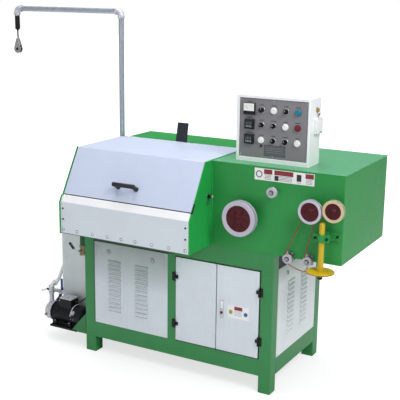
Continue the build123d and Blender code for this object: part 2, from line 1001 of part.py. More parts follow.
def face_spot(column, row):
    """Centre of a button: columns from the left, rows from the lowest."""
    return (
        box_left + button_place + column * button_column_pitch,
        housing_top + button_level + row * button_row_pitch,
    )


def push_button(column, row):
    """Round button with its collar."""
    return turned(
        front_axis(*face_spot(column, row)),
        (
            (0, face_setback),
            (button_collar_radius, face_setback),
            (button_collar_radius, face_setback - button_collar_reach),
            (button_radius, face_setback - button_collar_reach),
            (button_radius, face_setback - button_reach + button_edge),
            (button_radius - button_edge, face_setback - button_reach),
            (0, face_setback - button_reach),
        ),
    )


for label, spots in (
    ("white_buttons", ((1, 2), (2, 1), (0, 0), (3, 0))),
    ("green_button", ((3, 2),)),
    ("red_button", ((3, 1),)),
):
    with BuildPart() as buttons:
        for spot in spots:
            add(push_button(*spot))
    write(buttons.part, label)

# Rotary switches with an upright grip, and the round knob of the speed setting
with BuildPart() as panel_selectors:
    for spot in ((2, 2), (0, 1), (1, 1), (1, 0), (2, 0)):
        with BuildSketch(facing_front(face_setback)):
            with Locations(face_spot(*spot)):
                Circle(selector_radius)
        extrude(amount=selector_base_reach)
        with BuildSketch(facing_front(face_setback - selector_base_reach)):
            with Locations(face_spot(*spot)):
                Rectangle(selector_grip_width, 2 * selector_radius - selector_grip_width)
        extrude(amount=selector_grip_reach, taper=selector_taper)
    with BuildSketch(facing_front(face_setback)):
        with Locations(face_spot(0, 2)):
            Circle(knob_radius)
    extrude(amount=knob_reach, taper=selector_taper)
write(panel_selectors.part, "panel_selectors")

# Button, lever switch and socket on the right side of the control box
box_side = box_left + box_width
with BuildPart() as side_fittings:
    add(
        turned(
            side_axis(box_setback + side_button_place, housing_top + side_button_level),
            (
                (0, box_side),
                (side_button_radius, box_side),
                (side_button_radius, box_side + side_button_reach - button_edge),
                (side_button_radius - button_edge, box_side + side_button_reach),
                (0, box_side + side_button_reach),
            ),
        )
    )
    add(
        turned(
            side_axis(box_setback + side_switch_place, housing_top + side_switch_level),
            (
                (0, box_side),
                (side_switch_radius, box_side),
                (side_switch_radius, box_side + side_switch_reach),
                (side_switch_lever, box_side + side_switch_reach),
                (side_switch_lever, box_side + side_switch_length),
                (0, box_side + side_switch_length),
            ),
        )
    )
    with BuildSketch(facing_right(box_side)):
        with Locations((box_setback + side_socket_place, housing_top + side_socket_level)):
            RectangleRounded(side_socket_width, side_socket_height, side_socket_edge)
    extrude(amount=side_socket_reach)
write(side_fittings.part, "side_fittings")


def wheel_rim(place, level, radius, face_radius, width, flange, groove):
    """Grooved rim with an inner seat for the face disc."""
    face = -wheel_reach
    rear = face + width
    seat = face + wheel_face_recess + wheel_web
    barrel = radius - groove
    return turned(
        front_axis(place, level),
        (
            (face_radius + seat_gap, face),
            (radius, face),
            (radius, face + flange),
            (barrel, face + flange + groove / 2),
            (barrel, rear - flange - groove / 2),
            (radius, rear - flange),
            (radius, rear),
            (barrel - wheel_rim_wall, rear),
            (barrel - wheel_rim_wall, seat + wheel_step),
            (face_radius - wheel_seat, seat + wheel_step),
            (face_radius - wheel_seat, seat),
            (face_radius + seat_gap, seat),
        ),
    )


def wheel_disc(place, level, face_radius, stud_radius, boss_reach, hub_grooves):
    """Face disc with its hub, bored for the stud and closed at the front."""
    face = -wheel_reach + wheel_face_recess
    bore = stud_radius + running_gap
    bore_end = -wheel_reach + stud_end_cover - thrust_gap
    boss_radius = face_radius * wheel_boss_share
    return turned(
        front_axis(place, level),
        (
            (0, face - wheel_boss_rise),
            (boss_radius, face - wheel_boss_rise),
            (boss_radius + wheel_boss_rise, face),
            (face_radius, face),
            (face_radius, face + wheel_web),
            (stud_radius + hub_wall, face + wheel_web),
            *hub_grooves,
            (stud_radius + hub_wall, -boss_reach - thrust_gap),
            (bore, -boss_reach - thrust_gap),
            (bore, bore_end),
            (0, bore_end),
        ),
    )


# Take-off wheel and the two rollers; the left roller's hub has a groove for the belt
belt_half = belt_radius + belt_gap
hub_flange_radius = belt_hub_turn + belt_radius
hub_groove = (
    (roller_stud_radius + hub_wall, -belt_setback - belt_half - belt_hub_flange),
    (hub_flange_radius, -belt_setback - belt_half - belt_hub_flange),
    (hub_flange_radius, -belt_setback - belt_half - belt_gap),
    (belt_hub_turn - belt_half, -belt_setback - belt_half),
    (belt_hub_turn - belt_half, -belt_setback + belt_half),
    (hub_flange_radius, -belt_setback + belt_half + belt_gap),
    (hub_flange_radius, -belt_setback + belt_half + belt_hub_flange),
    (roller_stud_radius + hub_wall, -belt_setback + belt_half + belt_hub_flange),
)
capstan_rim = wheel_rim(
    capstan_place,
    capstan_level,
    capstan_radius,
    capstan_face_radius,
    capstan_width,
    capstan_flange,
    capstan_groove,
)
write(capstan_rim, "capstan_rim")
capstan_disc = wheel_disc(
    capstan_place, capstan_level, capstan_face_radius, capstan_stud_radius, capstan_boss_reach, ()
)
write(capstan_disc, "capstan_disc")
left_roller = (left_roller_place, left_roller_level)
right_roller = (right_roller_place, right_roller_level)
for label, spot, radius, face_radius, hub_grooves in (
    ("left_roller", left_roller, left_roller_radius, left_roller_face_radius, hub_groove),
    ("right_roller", right_roller, right_roller_radius, right_roller_face_radius, ()),
):
    rim = wheel_rim(*spot, radius, face_radius, roller_width, roller_flange, roller_groove)
    write(rim, f"{label}_rim")
    disc = wheel_disc(*spot, face_radius, roller_stud_radius, roller_boss_reach, hub_grooves)
    write(disc, f"{label}_disc")


def small_pulley(place, level, reach, width, radius, groove_radius, flange):
    """Grooved pulley that turns on a small stud; reach is to its front face."""
    bore = small_stud_radius + running_gap
    side = (width - 2 * flange) * groove_side_share
    return turned(
        front_axis(place, level),
        (
            (bore, -reach),
            (radius, -reach),
            (radius, -reach + flange),
            (groove_radius, -reach + flange + side),
            (groove_radius, -reach + width - flange - side),
            (radius, -reach + width - flange),
            (radius, -reach + width),
            (bore, -reach + width),
        ),
    )


# Guide pulley and the two pulleys of the belt
belt_pulley_reach = belt_setback + belt_pulley_width / 2
guide_pulley = small_pulley(
    guide_place,
    guide_level,
    guide_reach,
    guide_width,
    guide_radius,
    guide_radius - guide_groove,
    guide_flange,
)
write(guide_pulley, "guide_pulley")
for label, place, level, turn in (
    ("left_belt_pulley", belt_left_place, belt_left_level, belt_left_turn),
    ("right_belt_pulley", belt_right_place, belt_right_level, belt_right_turn),
):
    belt_pulley = small_pulley(
        place,
        level,
        belt_pulley_reach,
        belt_pulley_width,
        belt_pulley_radius,
        turn - belt_half,
        belt_pulley_flange,
    )
    write(belt_pulley, label)


def wheel_stud(place, level, stud_radius, boss_radius, boss_reach):
    """Fixed stud of a wheel, on a round boss."""
    return turned(
        front_axis(place, level),
        (
            (0, 0),
            (boss_radius, 0),
            (boss_radius, -boss_reach),
            (stud_radius, -boss_reach),
            (stud_radius, -wheel_reach + stud_end_cover),
            (0, -wheel_reach + stud_end_cover),
        ),
    )


def small_stud(place, level, foot, reach, width):
    """Fixed stud of a small pulley, with a nut in front of it."""
    nut_back = -reach - thrust_gap
    return turned(
        front_axis(place, level),
        (
            (0, -foot),
            (small_boss_radius, -foot),
            (small_boss_radius, -reach + width + thrust_gap),
            (small_stud_radius, -reach + width + thrust_gap),
            (small_stud_radius, nut_back),
            (stud_nut_radius, nut_back),
            (stud_nut_radius, nut_back - stud_nut_height),
            (0, nut_back - stud_nut_height),
        ),
    )


# Fixed studs of the wheels, those of the belt pulleys on brackets at the housing's lower edge
with BuildPart() as wheel_studs:
    add(
        wheel_stud(
            capstan_place,
            capstan_level,
            capstan_stud_radius,
            capstan_boss_radius,
            capstan_boss_reach,
        )
    )
    for spot in (left_roller, right_roller):
        add(wheel_stud(*spot, roller_stud_radius, roller_boss_radius, roller_boss_reach))
    add(small_stud(guide_place, guide_level, 0, guide_reach, guide_width))
    for place, level in ((belt_left_place, belt_left_level), (belt_right_place, belt_right_level)):
        with BuildSketch(facing_front(0)):
            with Locations((place, level + bracket_rise - bracket_height / 2)):
                RectangleRounded(bracket_width, bracket_height, bracket_corner)
        extrude(amount=bracket_thickness)
        add(small_stud(place, level, bracket_thickness, belt_pulley_reach, belt_pulley_width))
write(wheel_studs.part, "wheel_studs")

# Drive belt: a closed loop round circles, each with a plus radius where the belt turns clockwise
bight_distance = belt_right_turn + belt_bight_turn + belt_bight_gap
belt_circles = (
    (left_roller_place, left_roller_level, belt_hub_turn),
    (belt_right_place, belt_right_level, -belt_right_turn),
    (
        belt_right_place - bight_distance * sin(radians(belt_bight_angle)),
        belt_right_level - bight_distance * cos(radians(belt_bight_angle)),
        belt_bight_turn,
    ),
    (belt_slack_place, belt_slack_level + belt_slack_turn, belt_slack_turn),
    (belt_left_place, belt_left_level, belt_left_turn),
)


def belt_heading(start, end):
    """Direction of the straight run from one circle to the next, in radians."""
    across = end[0] - start[0]
    rise = end[1] - start[1]
    return atan2(rise, across) + asin((end[2] - start[2]) / sqrt(across**2 + rise**2))


def touch_point(circle, heading):
    """Where a straight run of the belt touches a circle."""
    return (circle[0] - circle[2] * sin(heading), circle[1] + circle[2] * cos(heading))


next_circles = belt_circles[1:] + belt_circles[:1]
belt_headings = [belt_heading(start, end) for start, end in zip(belt_circles, next_circles)]
with BuildPart() as drive_belt:
    with BuildLine(facing_front(-belt_setback)) as belt_path:
        for number, circle in enumerate(belt_circles):
            arriving = belt_headings[number - 1]
            leaving = belt_headings[number]
            clockwise = circle[2] > 0
            turn = degrees(arriving - leaving) % 360
            CenterArc(
                circle[:2],
                abs(circle[2]),
                degrees(arriving) + (90 if clockwise else -90),
                -turn if clockwise else 360 - turn,
            )
            Line(touch_point(circle, leaving), touch_point(next_circles[number], leaving))
    belt_wire = belt_path.wire()
    with BuildSketch(Plane(origin=belt_wire @ 0, z_dir=belt_wire % 0)):
        Circle(belt_radius)
    sweep(path=belt_wire)
write(drive_belt.part, "drive_belt")

# Guide stem: an upright rod with a domed top, thinner where the disc sits
guide_stem = turned(
    upright_axis(stem_place, -stem_reach),
    (
        (0, disc_top - stem_end_length),
        (stem_end_radius, disc_top - stem_end_length),
        (stem_end_radius, disc_top),
        (stem_radius, disc_top),
        (stem_radius, stem_top - stem_dome),
        (stem_radius - stem_dome, stem_top),
        (0, stem_top),
    ),
)
write(guide_stem, "guide_stem")

disc_foot = disc_top - disc_thickness
stem_disc = turned(
    upright_axis(stem_place, -stem_reach),
    (
        (stem_end_radius + seat_gap, disc_top),
        (disc_radius - disc_edge, disc_top),
        (disc_radius, disc_top - disc_edge),
        (disc_radius, disc_foot),
        (disc_hub_radius, disc_foot),
        (disc_hub_radius, disc_foot - disc_hub_height),
        (stem_end_radius + seat_gap, disc_foot - disc_hub_height),
    ),
)
write(stem_disc, "stem_disc")

# Clamp of the stem: a foot on the housing, an arm and an eared cap round the stem
with BuildPart() as stem_clamp:
    with BuildSketch(facing_front(0)):
        with Locations(((clamp_foot_left + clamp_foot_right) / 2, clamp_level)):
            RectangleRounded(clamp_foot_right - clamp_foot_left, clamp_height, clamp_corner)
    extrude(amount=clamp_foot_sheet)
    with BuildSketch(facing_up(clamp_level - clamp_height / 2)):
        with Locations((stem_place, -stem_reach)):
            Circle(stem_radius + clamp_gap + clamp_wall)
            Rectangle(2 * clamp_ear, clamp_cap)
        with Locations((stem_place, -stem_reach / 2)):
            Rectangle(2 * clamp_arm, stem_reach)
        with Locations((stem_place, -stem_reach)):
            Circle(stem_radius + clamp_gap, mode=Mode.SUBTRACT)
    extrude(amount=clamp_height)
write(stem_clamp.part, "stem_clamp")

# Overhead gantry: an upright pipe beside the rear housing and an arm to the left
elbow_leg = elbow_turn + elbow_collar
with BuildPart() as gantry_post:
    with BuildSketch(facing_up(gantry_foot)):
        with Locations((gantry_place, gantry_setback)):
            Circle(pipe_radius)
    extrude(amount=arm_level - elbow_leg - gantry_foot)
write(gantry_post.part, "gantry_post")

with BuildPart() as gantry_arm:
    with BuildSketch(facing_right(drop_place + elbow_leg)):
        with Locations((gantry_setback, arm_level)):
            Circle(pipe_radius)
    extrude(amount=gantry_place - drop_place - 2 * elbow_leg)
write(gantry_arm.part, "gantry_arm")


def elbow(place, side):
    """Pipe elbow from an upright pipe below to a level pipe on the given side."""
    foot = facing_up(arm_level - elbow_leg)
    mouth = facing_right(place + side * elbow_leg)
    with BuildPart() as bend:
        with BuildLine(facing_front(gantry_setback)) as centre:
            FilletPolyline(
                (place, arm_level - elbow_leg),
                (place, arm_level),
                (place + side * elbow_leg, arm_level),
                radius=elbow_turn,
            )
        with BuildSketch(foot):
            with Locations((place, gantry_setback)):
                Circle(elbow_radius)
        sweep(path=centre.wire())
        with BuildSketch(foot):
            with Locations((place, gantry_setback)):
                Circle(elbow_collar_radius)
        extrude(amount=elbow_collar)
        with BuildSketch(mouth):
            with Locations((gantry_setback, arm_level)):
                Circle(elbow_collar_radius)
        extrude(amount=-side * elbow_collar)
    return bend.part


with BuildPart() as gantry_elbows:
    add(elbow(gantry_place, -1))
    add(elbow(drop_place, 1))
write(gantry_elbows.part, "gantry_elbows")

# Hanger below the arm's end, and the pulley block on its link
block_top = block_level + block_rise + block_top_radius
gantry_hanger = turned(
    upright_axis(drop_place, gantry_setback),
    (
        (0, arm_level - elbow_leg),
        (pipe_radius, arm_level - elbow_leg),
        (pipe_radius, drop_foot + pipe_radius - link_radius),
        (link_radius, drop_foot),
        (link_radius, block_top),
        (0, block_top),
    ),
)
write(gantry_hanger, "gantry_hanger")

block_thickness = block_gap + 2 * block_cheek
with BuildPart() as pulley_block:
    with BuildSketch(facing_front(gantry_setback)):
        with Locations((drop_place, block_level)):
            Circle(block_radius)
        with Locations((drop_place, block_level + block_rise)):
            Circle(block_top_radius)
        make_hull()
    extrude(amount=block_thickness / 2, both=True)
    with BuildSketch(facing_front(gantry_setback)):
        with Locations((drop_place, block_level + sheave_radius + thrust_gap)):
            Rectangle(
                2 * (block_radius + overrun),
                2 * (block_radius + sheave_radius + overrun),
                align=(Align.CENTER, Align.MAX),
            )
    extrude(amount=block_gap / 2, both=True, mode=Mode.SUBTRACT)
    with BuildSketch(facing_front(gantry_setback)):
        with Locations((drop_place, block_level)):
            Circle(sheave_pin_radius)
    extrude(amount=block_thickness / 2, both=True)
write(pulley_block.part, "pulley_block")

sheave_bore = sheave_pin_radius + running_gap
block_sheave = turned(
    front_axis(drop_place, block_level),
    (
        (sheave_bore, gantry_setback - sheave_width / 2),
        (sheave_radius, gantry_setback - sheave_width / 2),
        (sheave_radius, gantry_setback - sheave_width / 2 + sheave_flange),
        (sheave_radius - sheave_groove, gantry_setback),
        (sheave_radius, gantry_setback + sheave_width / 2 - sheave_flange),
        (sheave_radius, gantry_setback + sheave_width / 2),
        (sheave_bore, gantry_setback + sheave_width / 2),
    ),
)
write(block_sheave, "block_sheave")

# Clamps that hold the gantry's post to the rear housing
with BuildPart() as pipe_clamps:
    for level in pipe_clamp_levels:
        with BuildSketch(facing_up(level - pipe_clamp_height / 2)):
            with Locations((gantry_place, gantry_setback)):
                Circle(pipe_radius + clamp_gap + pipe_clamp_wall)
                Rectangle(
                    housing_left - gantry_place,
                    2 * (pipe_radius + pipe_clamp_wall),
                    align=(Align.MIN, Align.CENTER),
                )
                Circle(pipe_radius + clamp_gap, mode=Mode.SUBTRACT)
        extrude(amount=pipe_clamp_height)
write(pipe_clamps.part, "pipe_clamps")

# Brackets on the left: the pump shelf with its gussets, and the strips that carry the tank
with BuildPart() as left_brackets:
    with BuildSketch(facing_up(bottom_rail_underside)):
        Rectangle(shelf_reach, shelf_depth, align=(Align.MAX, Align.MIN))
    extrude(amount=shelf_sheet)
    for setback in (shelf_sheet, shelf_depth):
        with BuildSketch(facing_front(setback)):
            with BuildLine():
                Polyline(
                    (0, bottom_rail_underside),
                    (-gusset_length, bottom_rail_underside),
                    (0, bottom_rail_underside + gusset_height),
                    close=True,
                )
            make_face()
        extrude(amount=shelf_sheet)
    for level in (tank_bottom + tank_foot_radius, opening_top):
        with BuildSketch(facing_up(level)):
            with Locations((0, tank_front + tank_depth / 2)):
                Rectangle(
                    tank_gap,
                    tank_depth - 2 * tank_edge_radius,
                    align=(Align.MAX, Align.CENTER),
                )
        extrude(amount=tank_bracket_height)
write(left_brackets.part, "left_brackets")

# Pump motor with its fan cover, feet and terminal box
with BuildPart() as pump_motor:
    add(
        turned(
            side_axis(pump_setback, pump_level),
            (
                (0, motor_left),
                (motor_radius, motor_left),
                (motor_radius, motor_right),
                (fan_cover_radius, motor_right),
                (fan_cover_radius, motor_right + fan_cover_length - fan_cover_edge),
                (fan_cover_radius - fan_cover_edge, motor_right + fan_cover_length),
                (0, motor_right + fan_cover_length),
            ),
        )
    )
    with BuildSketch(facing_up(shelf_top)):
        for place in motor_foot_places:
            with Locations((place, pump_setback)):
                Rectangle(motor_foot_width, motor_foot_spread)
    extrude(amount=motor_foot_height)
    with BuildSketch(facing_up(pump_level)):
        with Locations((terminal_left + terminal_length / 2, pump_setback)):
            RectangleRounded(terminal_length, terminal_width, terminal_edge)
    extrude(amount=terminal_top - pump_level)
write(pump_motor.part, "pump_motor")

# Pump casing on the motor's left end, with its suction stub and the riser
casing_left = motor_left - casing_flange - casing_length
riser_place = motor_left - casing_flange - casing_length / 2
with BuildPart() as pump_casing:
    add(
        turned(
            side_axis(pump_setback, pump_level),
            (
                (0, motor_left),
                (casing_flange_radius, motor_left),
                (casing_flange_radius, motor_left - casing_flange),
                (casing_radius, motor_left - casing_flange),
                (casing_radius, casing_left + casing_edge),
                (casing_radius - casing_edge, casing_left),
                (suction_radius, casing_left),
                (suction_radius, casing_left - suction_length),
                (0, casing_left - suction_length),
            ),
        )
    )
    add(
        turned(
            upright_axis(riser_place, pump_setback),
            (
                (0, pump_level),
                (riser_radius, pump_level),
                (riser_radius, riser_top - riser_collar),
                (riser_collar_radius, riser_top - riser_collar),
                (riser_collar_radius, riser_top),
                (0, riser_top),
            ),
        )
    )
write(pump_casing.part, "pump_casing")

# Rigid delivery pipe from the riser, back past the tank and up into the rear housing's left side
riser_x = left + riser_place
with BuildPart() as delivery_pipe:
    with BuildLine() as pipe_route:
        FilletPolyline(
            (riser_x, front + pump_setback, riser_top),
            (riser_x, front + pump_setback, riser_top + delivery_start),
            (riser_x, front + pump_setback + delivery_run, riser_top + delivery_start),
            (riser_x, front + delivery_setback, delivery_level),
            (left + housing_left, front + delivery_setback, delivery_level),
            radius=[riser_collar, delivery_bend, delivery_bend],
        )
    with BuildSketch(facing_up(riser_top)):
        with Locations((riser_place, pump_setback)):
            Circle(delivery_radius)
    sweep(path=pipe_route.wire())
write(delivery_pipe.part, "delivery_pipe")

# Coolant tank, a closed welded body with round corners
tank_width = -tank_gap - tank_left
with BuildPart() as coolant_tank:
    with BuildSketch(facing_up(tank_bottom)):
        with Locations((tank_left + tank_width / 2, tank_front + tank_depth / 2)):
            RectangleRounded(tank_width, tank_depth, tank_edge_radius)
    extrude(amount=tank_top - tank_bottom)
    fillet(coolant_tank.faces().sort_by(Axis.Z)[0].edges(), tank_foot_radius)
write(coolant_tank.part, "coolant_tank")

# Drain valve below the chamber, its pin towards the front
valve_top = frame_height - drain_pipe_length
valve_foot = valve_top - valve_length
valve_level = valve_top - valve_length / 2
neck_front = drain_reach + valve_neck_reach
pin_front = neck_front + lever_thickness + 2 * lever_play
with BuildPart() as drain_valve:
    add(
        turned(
            upright_axis(drain_place, -drain_reach),
            (
                (0, valve_top),
                (valve_end_radius, valve_top),
                (valve_end_radius, valve_top - valve_end_height),
                (valve_radius, valve_top - valve_end_height),
                (valve_radius, valve_foot + valve_end_height),
                (valve_end_radius, valve_foot + valve_end_height),
                (valve_end_radius, valve_foot),
                (0, valve_foot),
            ),
        )
    )
    add(
        turned(
            front_axis(drain_place, valve_level),
            (
                (0, -drain_reach),
                (valve_neck_radius, -drain_reach),
                (valve_neck_radius, -neck_front),
                (valve_pin_radius, -neck_front),
                (valve_pin_radius, -pin_front),
                (valve_neck_radius, -pin_front),
                (valve_neck_radius, -pin_front - lever_thickness),
                (0, -pin_front - lever_thickness),
            ),
        )
    )
write(drain_valve.part, "drain_valve")

# Lever of the drain valve: a level stub to the left of its boss, bent up to a thick grip
lever_setback = -neck_front - lever_play
lever_bend = (drain_place - lever_stub, valve_level - lever_stub_drop)
lever_end = (drain_place - lever_length, valve_level + lever_rise)
grip_run = lever_end[0] - lever_bend[0]
grip_climb = lever_end[1] - lever_bend[1]
grip_share = lever_grip_length / 2 / sqrt(grip_run**2 + grip_climb**2)
grip_spot = (lever_end[0] - grip_run * grip_share, lever_end[1] - grip_climb * grip_share)
with BuildPart() as valve_lever:
    with BuildSketch(facing_front(lever_setback)):
        with Locations((drain_place, valve_level)):
            Circle(lever_boss_radius)
        with BuildLine():
            Polyline((drain_place, valve_level), lever_bend, lever_end)
        trace(line_width=lever_width)
        with Locations((drain_place, valve_level)):
            Circle(valve_pin_radius + running_gap, mode=Mode.SUBTRACT)
    extrude(amount=lever_thickness)
    with BuildSketch(facing_front(lever_setback + (lever_grip_thickness - lever_thickness) / 2)):
        with Locations(grip_spot):
            SlotOverall(
                lever_grip_length,
                lever_grip_width,
                rotation=degrees(atan2(grip_climb, grip_run)),
            )
    extrude(amount=lever_grip_thickness)
write(valve_lever.part, "valve_lever")

# Motor cable, each bend as large as its two runs allow, and the glands at its ends
cable_points = [Vector(left + x, front + y, z) for x, y, z in cable_route]
cable_radii = []
for before, point, after in zip(cable_points, cable_points[1:], cable_points[2:]):
    shorter = min((point - before).length, (after - point).length)
    half_turn = radians((point - before).get_angle(after - point)) / 2
    cable_radii.append(cable_bend_share * shorter * cos(half_turn) / sin(half_turn))
with BuildPart() as motor_cable:
    with BuildLine() as cable_line:
        FilletPolyline(*cable_points, radius=cable_radii)
    with BuildSketch(Plane(origin=cable_points[0], z_dir=cable_points[1] - cable_points[0])):
        Circle(cable_radius)
    sweep(path=cable_line.wire())
write(motor_cable.part, "motor_cable")

terminal_side = left + terminal_left + terminal_length
with BuildPart() as cable_glands:
    with BuildSketch(Plane(origin=cable_points[0], z_dir=(-1, 0, 0))):
        Circle(gland_radius)
    extrude(amount=cable_points[0].X - terminal_side)
    with BuildSketch(Plane(origin=cable_points[-1], z_dir=(1, 0, 0))):
        Circle(gland_radius)
    extrude(amount=left - cable_points[-1].X)
write(cable_glands.part, "cable_glands")
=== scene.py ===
import random
from math import atan2, cos, pi, radians, sin

import bmesh
import bpy
from mathutils import Matrix, Vector


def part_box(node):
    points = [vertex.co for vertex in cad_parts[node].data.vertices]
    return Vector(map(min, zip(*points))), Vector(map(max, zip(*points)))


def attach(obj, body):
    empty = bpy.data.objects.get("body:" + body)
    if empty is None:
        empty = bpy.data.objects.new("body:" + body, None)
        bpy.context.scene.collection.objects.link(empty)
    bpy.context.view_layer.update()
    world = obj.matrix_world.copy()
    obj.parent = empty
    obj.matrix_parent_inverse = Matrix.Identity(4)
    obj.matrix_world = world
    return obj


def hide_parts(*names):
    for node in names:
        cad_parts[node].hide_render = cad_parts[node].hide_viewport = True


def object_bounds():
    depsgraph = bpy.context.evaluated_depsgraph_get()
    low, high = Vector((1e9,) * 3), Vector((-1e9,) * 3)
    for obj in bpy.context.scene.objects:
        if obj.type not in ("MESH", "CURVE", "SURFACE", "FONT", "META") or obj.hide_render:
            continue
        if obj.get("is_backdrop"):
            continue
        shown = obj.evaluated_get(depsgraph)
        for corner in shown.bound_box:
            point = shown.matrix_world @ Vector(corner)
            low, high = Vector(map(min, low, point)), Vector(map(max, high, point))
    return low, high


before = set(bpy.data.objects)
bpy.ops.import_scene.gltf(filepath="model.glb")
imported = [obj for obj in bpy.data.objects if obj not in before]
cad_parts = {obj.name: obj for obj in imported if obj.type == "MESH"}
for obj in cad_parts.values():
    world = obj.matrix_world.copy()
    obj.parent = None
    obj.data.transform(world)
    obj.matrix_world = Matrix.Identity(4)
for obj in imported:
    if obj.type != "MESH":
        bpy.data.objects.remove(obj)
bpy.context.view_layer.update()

# Places are in millimetres from the left side, the front face and the floor of the cabinet frame
MM = 0.001
ORIGIN = 37.5
FRONT = Vector((0, -1, 0))
RIGHT = Vector((1, 0, 0))
LEFT = Vector((-1, 0, 0))
REAR = Vector((0, 1, 0))
UP = Vector((0, 0, 1))
DOWN = Vector((0, 0, -1))


def at(x, y, z):
    return Vector(((x - ORIGIN) * MM, (y - ORIGIN) * MM, z * MM))


def span(name):
    """Low and high corner of a CAD node, in the millimetres of at()."""
    return [(c.x / MM + ORIGIN, c.y / MM + ORIGIN, c.z / MM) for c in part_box(name)]


def middle(name):
    """Middle of a CAD node, in the millimetres of at()."""
    low, high = span(name)
    return [(a + b) / 2 for a, b in zip(low, high)]


# Faces of the CAD nodes that the added pieces sit on
FRAME_RIGHT, FRAME_REAR = span("frame_posts")[1][:2]
APRON_FACE = span("apron")[0][1]
TUB_RIGHT = span("chamber_tub")[1][0]
HOUSING_LEFT = span("gear_housing")[0][0]
HOUSING_RIGHT, HOUSING_REAR, HOUSING_TOP = span("gear_housing")[1]
BOX_LEFT, _, BOX_BOTTOM = span("control_box")[0]
BOX_RIGHT, BOX_REAR = span("control_box")[1][:2]
FACE = span("control_face")[0][1]
SHELF_UNDERSIDE = span("left_brackets")[0][2]


def linear(code):
    """Linear colour of an sRGB hex code."""
    channels = [int(code[i:i + 2], 16) / 255 for i in (0, 2, 4)]
    return tuple(c / 12.92 if c <= 0.04045 else ((c + 0.055) / 1.055) ** 2.4 for c in channels) + (1.0,)


# Colours that several materials share, that of dirt, and the grey of the painted shade
GREEN = "2F9449"
PANEL_WHITE = "E2E9F1"
DIRT = "5E5A4E"
PAINTED_SHADE_GREY = "5F6B62"


class Graph:
    """Node graph of a material or a world."""

    def __init__(self, owner):
        self.owner = owner
        owner.use_nodes = True
        self.tree = owner.node_tree
        self.tree.nodes.clear()

    def node(self, kind, inputs=(), **settings):
        made = self.tree.nodes.new(kind)
        for key, value in settings.items():
            setattr(made, key, value)
        for key, value in dict(inputs).items():
            if isinstance(value, bpy.types.NodeSocket):
                self.tree.links.new(value, made.inputs[key])
            else:
                made.inputs[key].default_value = value
        return made

    def noise(self, place, scale, detail=3.0, rough=0.6):
        inputs = {"Vector": place, "Scale": scale, "Detail": detail, "Roughness": rough}
        return self.node("ShaderNodeTexNoise", inputs).outputs["Fac"]

    def spread(self, value, low, high, to_low=0.0, to_high=1.0):
        """Map one range of values to another, clamped."""
        inputs = {"Value": value, "From Min": low, "From Max": high, "To Min": to_low, "To Max": to_high}
        return self.node("ShaderNodeMapRange", inputs, clamp=True).outputs["Result"]

    def maths(self, operation, first, second):
        return self.node("ShaderNodeMath", {0: first, 1: second}, operation=operation).outputs[0]

    def vector(self, operation, first, second=(0.0, 0.0, 0.0), output="Vector"):
        inputs = {0: first, 1: second}
        return self.node("ShaderNodeVectorMath", inputs, operation=operation).outputs[output]

    def mix(self, factor, first, second):
        made = self.node("ShaderNodeMix", {0: factor, 6: first, 7: second}, data_type="RGBA")
        return made.outputs[2]


# Surfaces: scale, bump depth and gloss swing of the grain and of tool marks, scales of specks, chips
# and dirt runs, width of worn edges, and the levels where dirt is least and shade is full, in metres
GRAIN_SCALE, GRAIN_DEPTH, GRAIN_GLOSS = 700.0, 0.00005, 0.06
MARK_SCALE, MARK_DEPTH, MARK_GLOSS = 900.0, 0.00004, 0.08
SPECK_SCALE, CHIP_SCALE = 55.0, 45.0
RUN_SCALES = (60.0, 60.0, 4.0)
WORN_EDGE = 0.0025
DIRT_TOP, SHADE_TOP = 0.9, 0.74


